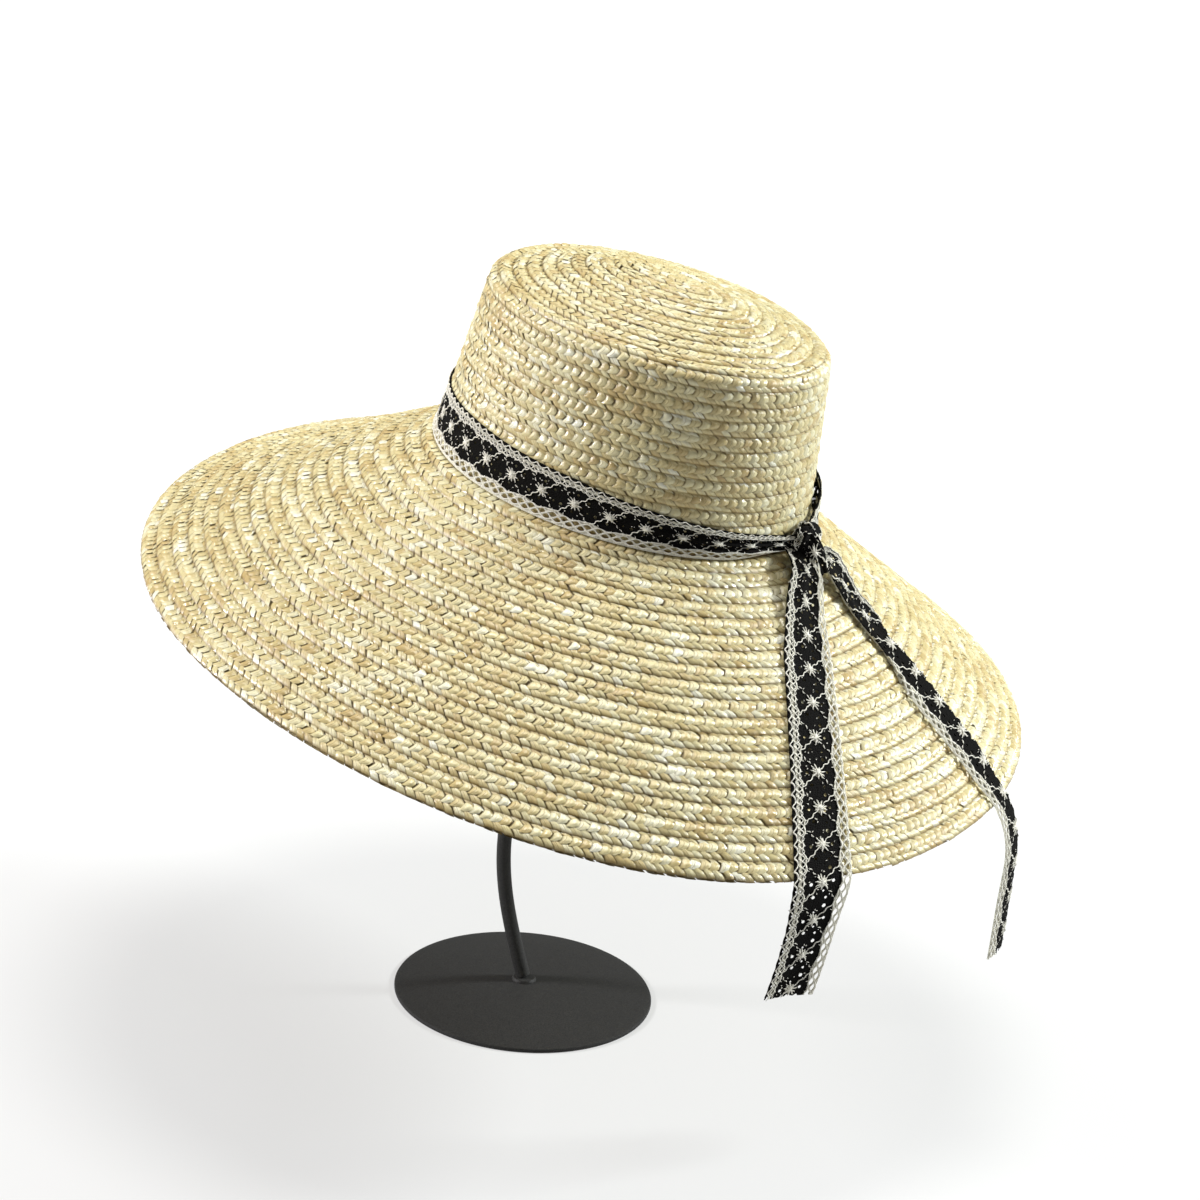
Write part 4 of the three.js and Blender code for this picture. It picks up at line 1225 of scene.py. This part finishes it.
# %% [markdown]
# ## Ribbon ends
# Both ends run straight out over the brim from the knot, turn over the rim and hang. Near the knot they are
# drawn together and lifted. The tables are those of the solids: where each end leaves, where it crosses the rim,
# how softly it bends there, how far it hangs, swings and twists.

# %% Knot place and tail tables
KNOT_WIDTH = 21
KNOT_DEPTH = 14
KNOT_HEIGHT = 21
TAIL_CLEARANCE = 3 * GAP
TWIST_SHARE = 0.6
TAILS = {
    "near": {
        "leaves": 0.75, "mouth": (8, -1, -4), "rim_turn": -30, "bend": 14, "hang": 63, "swing": 8, "twist": 0,
        "edge": -1, "phase": 14, "under": 0, "lumps": 0, "cup": 1.5, "drift": 4,
        "spread": [(0, 0.66, 0.4), (0.1, 0.78, 0.14), (0.3, 0.98, 0), (1, 1.1, 0)],
    },
    "far": {
        "leaves": -0.75, "mouth": (-1, 6, -4), "rim_turn": 5.6, "bend": 42, "hang": 86, "swing": -3, "twist": -4,
        "edge": 1, "phase": 12, "under": 11.0, "lumps": 0.35, "cup": -2, "drift": 2,
        "spread": [(0, 0.85, 0.4), (0.14, 0.75, 0.12), (0.34, 0.95, 0), (0.5, 1.1, 0), (1, 1.05, 0)],
    },
}
DOWN = np.array([0, math.sin(HAT_LEAN), -math.cos(HAT_LEAN)])
# The hanging ends drift a little back under the brim, away from plumb, as a limp ribbon does.
HANG_DRIFT = np.array([0.47, -0.88, 0])
# How far each end runs on into the knot.
INTO_KNOT = 20
# Cloth folded under comes back by this share of what is folded.
FOLD_BACK = 1.85
HANG_STEPS = 48


def knot_centre():
    """Between the band and the brim, clear of both, as in the solids."""
    deep, high = KNOT_DEPTH / 2, KNOT_HEIGHT / 2
    from_band = math.hypot(deep * math.cos(SIDE_LEAN), high * math.sin(SIDE_LEAN)) + GAP
    from_brim = math.hypot(deep * math.sin(BRIM_SLOPE), high * math.cos(BRIM_SLOPE)) + GAP
    band_back = HALF_LENGTH + RIDGE * math.cos(SIDE_LEAN) + GAP + 1
    slope = math.tan(BRIM_SLOPE)
    foot = -GAP - RIDGE + RIDGE * math.cos(BRIM_SLOPE) + slope * (HALF_LENGTH + RIDGE * math.sin(BRIM_SLOPE))
    out = band_back + from_band / math.cos(SIDE_LEAN)
    above = foot + from_brim / math.cos(BRIM_SLOPE)
    back = (out - above * math.tan(SIDE_LEAN)) / (1 - math.tan(SIDE_LEAN) * slope)
    return np.array([0, back, above - slope * back])


KNOT_CENTRE = knot_centre()


# %% Over the brim
def over_brim(x, y, out):
    """The brim's surface above a place in plan, and so far over it."""
    share, turn = np.full(np.shape(x), 0.5), None
    for _ in range(24):
        long = HALF_LENGTH + BRIM_REACH * share
        wide = HALF_WIDTH + BRIM_REACH * BRIM_SIDE_SHARE * share
        turn = np.arctan2(-x / wide, y / long)
        share = share + (np.hypot(x / wide, y / long) - 1) * long / BRIM_REACH
    return brim_place(turn, share, RIDGE + GAP + out)


# %% Place of a ribbon end
def tail_place(tail):
    """The place function of one ribbon end, and its length over the brim and in all."""
    rim_turn = math.radians(tail["rim_turn"])
    rim = brim_place(rim_turn, 1, 0)
    heart = KNOT_CENTRE + [tail["leaves"] * KNOT_WIDTH / 2, 0, 0]
    way = unit(np.array([rim[0] - heart[0], rim[1] - heart[1], 0]))
    across = np.array([way[1], -way[0], 0])
    ahead = (brim_place(rim_turn - 0.01, 1, 0) - rim) * [1, 1, 0]
    along_rim = ahead / ahead.dot(across)
    clear = math.hypot(way[0] * KNOT_WIDTH / 2, way[1] * KNOT_DEPTH / 2) + TAIL_CLEARANCE
    start = heart + way * clear
    spread = np.array(tail["spread"])

    def on_brim(along, offset, out):
        width = np.interp(along, spread[:, 0], spread[:, 1])
        lift = np.interp(along, spread[:, 0], spread[:, 2]) * KNOT_DEPTH
        pleat = 2.2 * np.clip((1 - width) / 0.5, 0, 1) * (1 - np.cos(TURN * 2.5 * (offset / LACE_WIDTH + 0.5))) / 2
        middle = start + (rim - start) * along[..., None]
        sideways = across + (along_rim - across) * along[..., None]
        spot = middle + sideways * (offset * width)[..., None]
        return over_brim(spot[..., 0], spot[..., 1], out + lift + pleat)

    stations = np.linspace(0, 1, 80)
    centre = on_brim(stations, np.zeros(80), np.zeros(80))
    brim_way = travelled(centre)
    rim_length = float(brim_way[-1])
    edge = on_brim(np.ones(3), np.array([-LACE_HALF, 0, LACE_HALF]), np.zeros(3))
    slope_way = unit(centre[-1] - centre[-2])
    step = tail["hang"] / HANG_STEPS
    middle, middles, sides, faces = edge[1].copy(), [], [], []
    for i in range(HANG_STEPS + 1):
        hung = i / HANG_STEPS
        plumb = smoothstep(hung * tail["hang"] - step / 2, -tail["bend"] / 2, tail["bend"])
        heading = unit(slope_way + (DOWN - slope_way) * plumb)
        if i:
            middle = middle + heading * step + across * tail["swing"] / HANG_STEPS
        turned = Matrix.Rotation(-math.radians(tail["twist"]) * smoothstep(hung, 0, TWIST_SHARE), 3, DOWN.tolist())
        side = np.array(turned) @ unit(edge[2] - edge[0])
        middles.append(middle)
        sides.append(side)
        faces.append(unit(np.cross(side, heading)))
    middles, sides, faces = np.array(middles), np.array(sides), np.array(faces)
    hang_way = np.linspace(0, tail["hang"], HANG_STEPS + 1)

    def place(s, w, h):
        # Before its start the ribbon runs back, narrowing, into the knot.
        into = np.clip(-s / INTO_KNOT, 0, 1)[..., None]
        flat = over_rim(np.maximum(s, 0), w, h)
        ease = into**2 * (3 - 2 * into)
        mouth = KNOT_CENTRE + np.array(tail["mouth"]) + across * (w * tail["edge"] * 0.56)[..., None]
        mouth = mouth + np.array([0.5, 0.5, 0.7]) * (h + 1.2 * np.cos(TURN * 2 * w / LACE_WIDTH))[..., None]
        return flat + (mouth - flat) * ease + np.array([0.2, 0.4, 1.2]) * np.sin(math.pi * into)

    def over_rim(s, w, h):
        # The far end's edging is turned under, and the hanging cloth curls.
        under = tail["under"] * smoothstep(s, 22, 50)
        turned = np.clip(-w - LACE_HALF + under, 0, None)
        w = w + FOLD_BACK * turned
        # Near the knot the open net is under instead.
        hidden = np.clip(w - LACE_HALF + 0.6 * tail["under"] * (1 - smoothstep(s, 45, 80)), 0, None)
        w = w - FOLD_BACK * hidden
        turned = turned + hidden
        lumps = np.where(w < 0, np.sin(TURN * s / 7.3) + 0.7 * np.sin(TURN * s / 4.4), 0)
        w = w + tail["lumps"] * lumps * smoothstep(-w, -2, 3)
        w = w - 0.32 * tail["under"] * smoothstep(s, 22, 60)
        offset = w * tail["edge"]
        out = LACE_LIFT + np.where(turned > 0, -h, h) - 0.9 * smoothstep(turned, 0, 1.2)
        if tail["under"]:
            out = out + 0.7
        along = np.interp(s, brim_way, stations)
        # The far end's folded edge stands up off the brim.
        prop = 0.5 * tail["under"] * smoothstep(s, 14, 60) * smoothstep(rim_length - s, 0, 30)
        flat = on_brim(along, offset, out + prop * (0.35 + np.clip(offset / LACE_HALF * -0.6, -0.3, 0.65)))
        below = np.clip(s - rim_length, 0, None)
        mid, side, face = (follow(below, hang_way, v) for v in (middles, sides, faces))
        curl = tail["cup"] * smoothstep(below, 10, 60) * (offset / LACE_HALF) ** 2
        mid = mid + HANG_DRIFT * (tail["drift"] * (below / tail["hang"]) ** 2)[..., None]
        hanging = mid + side * (offset * (1 - 0.02 * curl))[..., None] + face * (out + curl)[..., None]
        rim_line = on_brim(np.ones(len(s)), offset, out)
        straight = edge[1] + sides[0] * offset[..., None] + faces[0] * out[..., None]
        ease = (1 - smoothstep(below, 0, 30))[..., None]
        hanging = hanging + (rim_line - straight) * ease
        return np.where((s > rim_length)[..., None], hanging, flat)

    return place, rim_length, rim_length + tail["hang"]


# %% Both ribbon ends
for name, tail in TAILS.items():
    place, rim_length, length = tail_place(tail)
    ground = add_lace("tail_" + name + "_lace", place, -INTO_KNOT, length, phase=tail["phase"], frayed=True)
    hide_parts("tail_" + name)
    print("ribbon end", name, "%.0f mm, of which %.0f mm hang" % (length, length - rim_length))

# %% [markdown]
# ## Knot
# The knot is the same ribbon wound tight: one turn lies crosswise as a ball, and one rolled turn comes over its
# top from the far side and goes down in front, which is the thick black fold seen from the camera.

# %% Wound turn
KNOT_RUN = 2.2 * REPEAT
KNOT_RING = 3.7
KNOT_THICK = 4.3
KNOT_TILT = math.radians(14)
# How far the ribbon's edges are tucked into the ring's mouth, and how deep its two sets of furrows are.
KNOT_TUCK = math.pi * 0.93
KNOT_FURROWS = (0.75, 0.4)


def knot_place(s, w, h):
    """A ring wound round the band, with both edges of the ribbon tucked into its mouth, and pulled in by furrows."""
    angle = TURN * s / KNOT_RUN
    bend = w / LACE_HALF * KNOT_TUCK
    furrow = KNOT_FURROWS[0] * np.cos(2.6 * bend + 2 * np.sin(angle)) + KNOT_FURROWS[1] * np.cos(5 * bend - 3 * angle)
    thick = KNOT_THICK + h + furrow * np.clip(np.cos(bend) + 0.9, 0, 1)
    ring = (KNOT_RING + thick * np.cos(bend)) / (KNOT_RING + KNOT_THICK)
    x = (KNOT_WIDTH / 2 - 1.6 + h) * np.sin(bend) * (1 + 0.08 * np.cos(3 * angle))
    y = (KNOT_DEPTH / 2 - 1.2) * ring * np.cos(angle) - 1.4
    z = (KNOT_HEIGHT / 2 - 2.0) * ring * np.sin(angle)
    lean, rise = math.cos(KNOT_TILT), math.sin(KNOT_TILT)
    return KNOT_CENTRE + np.stack([x * lean - z * rise, y, x * rise + z * lean], -1)


knot_ground = add_lace("knot_turn", knot_place, 0.0, KNOT_RUN, phase=0.5,
                       edging=False, material=black_cloth)
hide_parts("knot")
print("knot turn %.0f mm" % KNOT_RUN)

# %% Rolled turn
# Points of the rolled turn's middle, from the knot's centre: sideways, back, up.
ROLL_PATH = np.array([(-7, -5.5, 2), (-1, -4.5, 5), (2.2, -1, 5), (3.4, 3.8, 1), (3.2, 8.1, -5.8), (0.8, 10.4, -13.5)])
ROLL_RADIUS = 3.1
# Where the middle of the rolled ribbon looks. The roll is open on the side away from it.
ROLL_ASIDE = np.array([0.86, 0.34, 0.37])
# Its edges almost meet. It grows fatter down its length and has lengthwise furrows.
ROLL_CLOSED = 2.9
ROLL_FAT = (0.72, 0.42)
ROLL_FURROW = 0.62


def spline(points, count):
    """A smooth curve through points, with its own even steps."""
    share = np.linspace(0, len(points) - 1, count)
    padded = np.vstack([2 * points[0] - points[1], points, 2 * points[-1] - points[-2]])
    at = np.minimum(share.astype(int), len(points) - 2)
    t = (share - at)[:, None]
    a, b, c, d = (padded[at + k] for k in range(4))
    return 0.5 * (2 * b + (c - a) * t + (2 * a - 5 * b + 4 * c - d) * t**2 + (3 * b - a - 3 * c + d) * t**3)


ROLL_LINE = spline(ROLL_PATH, 60)
ROLL_WAY = travelled(ROLL_LINE)


def roll_place(s, w, h):
    """A ribbon rolled lengthwise into a loose tube along the path."""
    ahead = unit(follow(s + 0.7, ROLL_WAY, ROLL_LINE) - follow(s - 0.7, ROLL_WAY, ROLL_LINE))
    side = unit(np.cross(ahead, ROLL_ASIDE))
    face = np.cross(side, ahead)
    angle = w / LACE_HALF * ROLL_CLOSED
    fat = ROLL_FAT[0] + ROLL_FAT[1] * smoothstep(s, 12, 24)
    radius = (ROLL_RADIUS * fat + h + ROLL_FURROW * np.cos(7 * angle + s / 4))[..., None]
    ring = side * np.sin(angle)[..., None] * 1.15 + face * np.cos(angle)[..., None] * 0.95
    return KNOT_CENTRE + follow(s, ROLL_WAY, ROLL_LINE) + radius * ring


add_lace("knot_roll", roll_place, 0.5, float(ROLL_WAY[-1]) - 0.5, phase=4.0,
         edging=False, material=black_cloth)
print("roll %.0f mm" % (ROLL_WAY[-1] - 1))

# %% [markdown]
# ## Stand
# Base, rod and head are steel with a baked black powder coat: almost even, slightly pebbled, with a soft sheen.
# The base is turned, the rod is one drawn bar with a cold bend, and a weld bead joins them.

# %% Stand sizes and coat
BASE_DIAMETER = 140
BASE_EDGE = 2.2
BASE_HEIGHT = 8
WELD_RADIUS = 5.8
WELD_FOOT_RADIUS = 6.7
WELD_HEIGHT = 1.6
WELD_TOP = BASE_HEIGHT + WELD_HEIGHT
ROD_DIAMETER = 7.8
ROD_BOW = 19.1
ROD_BOW_HEIGHT = 84
ROD_BEND_SHARE = 0.385
HEAD_DIAMETER = 96
HEAD_EDGE = 4
HEAD_BOSS = 7
HEAD_BOSS_RADIUS = 10.9
ROD_SIDES = 32
COAT_TONES = [(0.3, 0.022, 0.022, 0.022), (0.72, 0.043, 0.043, 0.042)]


def coat_material():
    material, tree = shader_material("black powder coat")
    where = tree.nodes.new("ShaderNodeTexCoord").outputs["Object"]
    fine, broad = noise(tree, where, 1400), noise(tree, where, 24)
    rough = math_node(tree, "ADD", math_node(tree, "MULTIPLY", broad, 0.12), 0.5)
    set_shader(tree, {"Base Color": colour_ramp(tree, fine, COAT_TONES), "Roughness": rough,
                      "Specular IOR Level": 0.2, "Normal": bump(tree, fine, 0.25, 0.0001)})
    return material


black_coat = coat_material()
print("coat:", black_coat.name)

# %% Lathe
STAND_SIDES = 128


def with_ends(rings, sides):
    """Faces of some rings of points, closed by a flat end at both."""
    ends = [np.arange(sides)[None], (rings - 1) * sides + np.arange(sides)[None, ::-1]]
    return [ring_faces(rings, sides), *ends]


def turned_piece(profile):
    """Points and faces of a profile of (radius, height) turned on a lathe."""
    angle = around(STAND_SIDES)
    profile = np.array(profile, float)
    radius, height = np.maximum(profile[:, :1], 0.01), profile[:, 1:]
    rings = np.stack(np.broadcast_arrays(radius * np.cos(angle), radius * np.sin(angle), height), -1)
    return rings.reshape(-1, 3), [group[:, ::-1] for group in with_ends(len(profile), STAND_SIDES)]


def add_stand(name, points, faces, node):
    piece = add_piece(name, points, faces, black_coat)
    piece.data.set_sharp_from_angle(angle=math.radians(35))
    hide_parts(node)


# %% Base
radius = BASE_DIAMETER / 2
profile = [(0, 0), (radius - BASE_EDGE / 3, 0)]
for step in range(1, 7):
    angle = step / 7 * math.pi / 2
    profile.append((radius - BASE_EDGE / 3 * (1 - math.sin(angle)), BASE_EDGE / 3 * (1 - math.cos(angle))))
profile += [(radius, BASE_EDGE * 0.6), (radius * 0.994, BASE_EDGE * 0.95)]
for share in (0.985, 0.95, 0.9, 0.8, 0.7, 0.55, 0.4, 0.3, 0.2, 0.12):
    profile.append((radius * share, BASE_EDGE + (BASE_HEIGHT - BASE_EDGE) * (1 - share * share)))
profile += [(WELD_FOOT_RADIUS, BASE_HEIGHT - 0.05), (WELD_FOOT_RADIUS * 0.96, BASE_HEIGHT + 0.6),
            (WELD_RADIUS, WELD_TOP - 0.2), (WELD_RADIUS * 0.8, WELD_TOP), (0, WELD_TOP)]
add_stand("base_turned", *turned_piece(profile), "stand_base")
print("base %.0f mm across" % BASE_DIAMETER)


# %% Head
def head_top(radius):
    """How high the head's upper face may be at a radius, clear of the tip's inside."""
    share = radius / TIP_HALF_WIDTH
    height = CROWN_HEIGHT + TIP_DOME * (1 - share**TIP_DOME_POWER)
    drop = TIP_EDGE_RADIUS * (1 - math.cos(tip_slope(1.0)))
    return height - drop + INSIDE / math.cos(tip_slope(share)) - GAP


radius = HEAD_DIAMETER / 2
seat = head_top(radius) - HEAD_EDGE - HEAD_BOSS
profile = [(0, seat), (ROD_DIAMETER, seat), (HEAD_BOSS_RADIUS, seat + HEAD_BOSS / 2), (radius * 0.9, seat + HEAD_BOSS),
           (radius, seat + HEAD_BOSS + HEAD_EDGE / 2), (radius * 0.97, head_top(radius * 0.97) - HEAD_EDGE / 8)]
for share in (0.9, 0.75, 0.6, 0.5, 0.4, 0.25, 0.1, 0.0):
    profile.append((radius * share, head_top(radius * share)))
points, faces = turned_piece(profile)
add_stand("head_turned", hat_to_frame(points), faces, "stand_head")
print("head %.0f mm across" % HEAD_DIAMETER)


# %% Rod
def rod_line():
    """The rod's middle: bowed low down, then one long bend to the head, in the frame of the solids."""
    heights = np.linspace(WELD_TOP + GAP, ROD_BOW_HEIGHT, 40)
    bow = -ROD_BOW * np.sin(math.pi / 2 * (heights - BASE_HEIGHT) / (ROD_BOW_HEIGHT - BASE_HEIGHT))
    low = np.stack([np.zeros(40), bow, heights], -1)
    seat = hat_to_frame(np.array([0, 0, head_top(HEAD_DIAMETER / 2) - HEAD_EDGE - HEAD_BOSS - GAP]))
    axis = hat_to_frame(np.array([0, 0, 1.0])) - hat_to_frame(np.array([0, 0, 0.0]))
    first = low[-1]
    handle = (seat[2] - first[2]) * ROD_BEND_SHARE
    second, third = first + [0, 0, handle], seat - axis * handle
    t = np.linspace(0, 1, 60)[1:, None]
    high = first * (1 - t)**3 + 3 * second * t * (1 - t)**2 + 3 * third * t**2 * (1 - t) + seat * t**3
    return np.vstack([low, high])


line = rod_line()
ahead = unit(np.gradient(line, axis=0))
side = np.array([1.0, 0, 0])
angle = around(ROD_SIDES)[None, :, None]
rings = line[:, None] + ROD_DIAMETER / 2 * (side * np.cos(angle) + np.cross(ahead, side)[:, None] * np.sin(angle))
add_stand("rod_bent", rings.reshape(-1, 3), with_ends(len(line), ROD_SIDES), "stand_rod")
print("rod %.0f mm long" % travelled(line)[-1])

# %% Finish
print("triangles:", sum(piece_triangles.values()), "in", len(piece_triangles), "pieces")
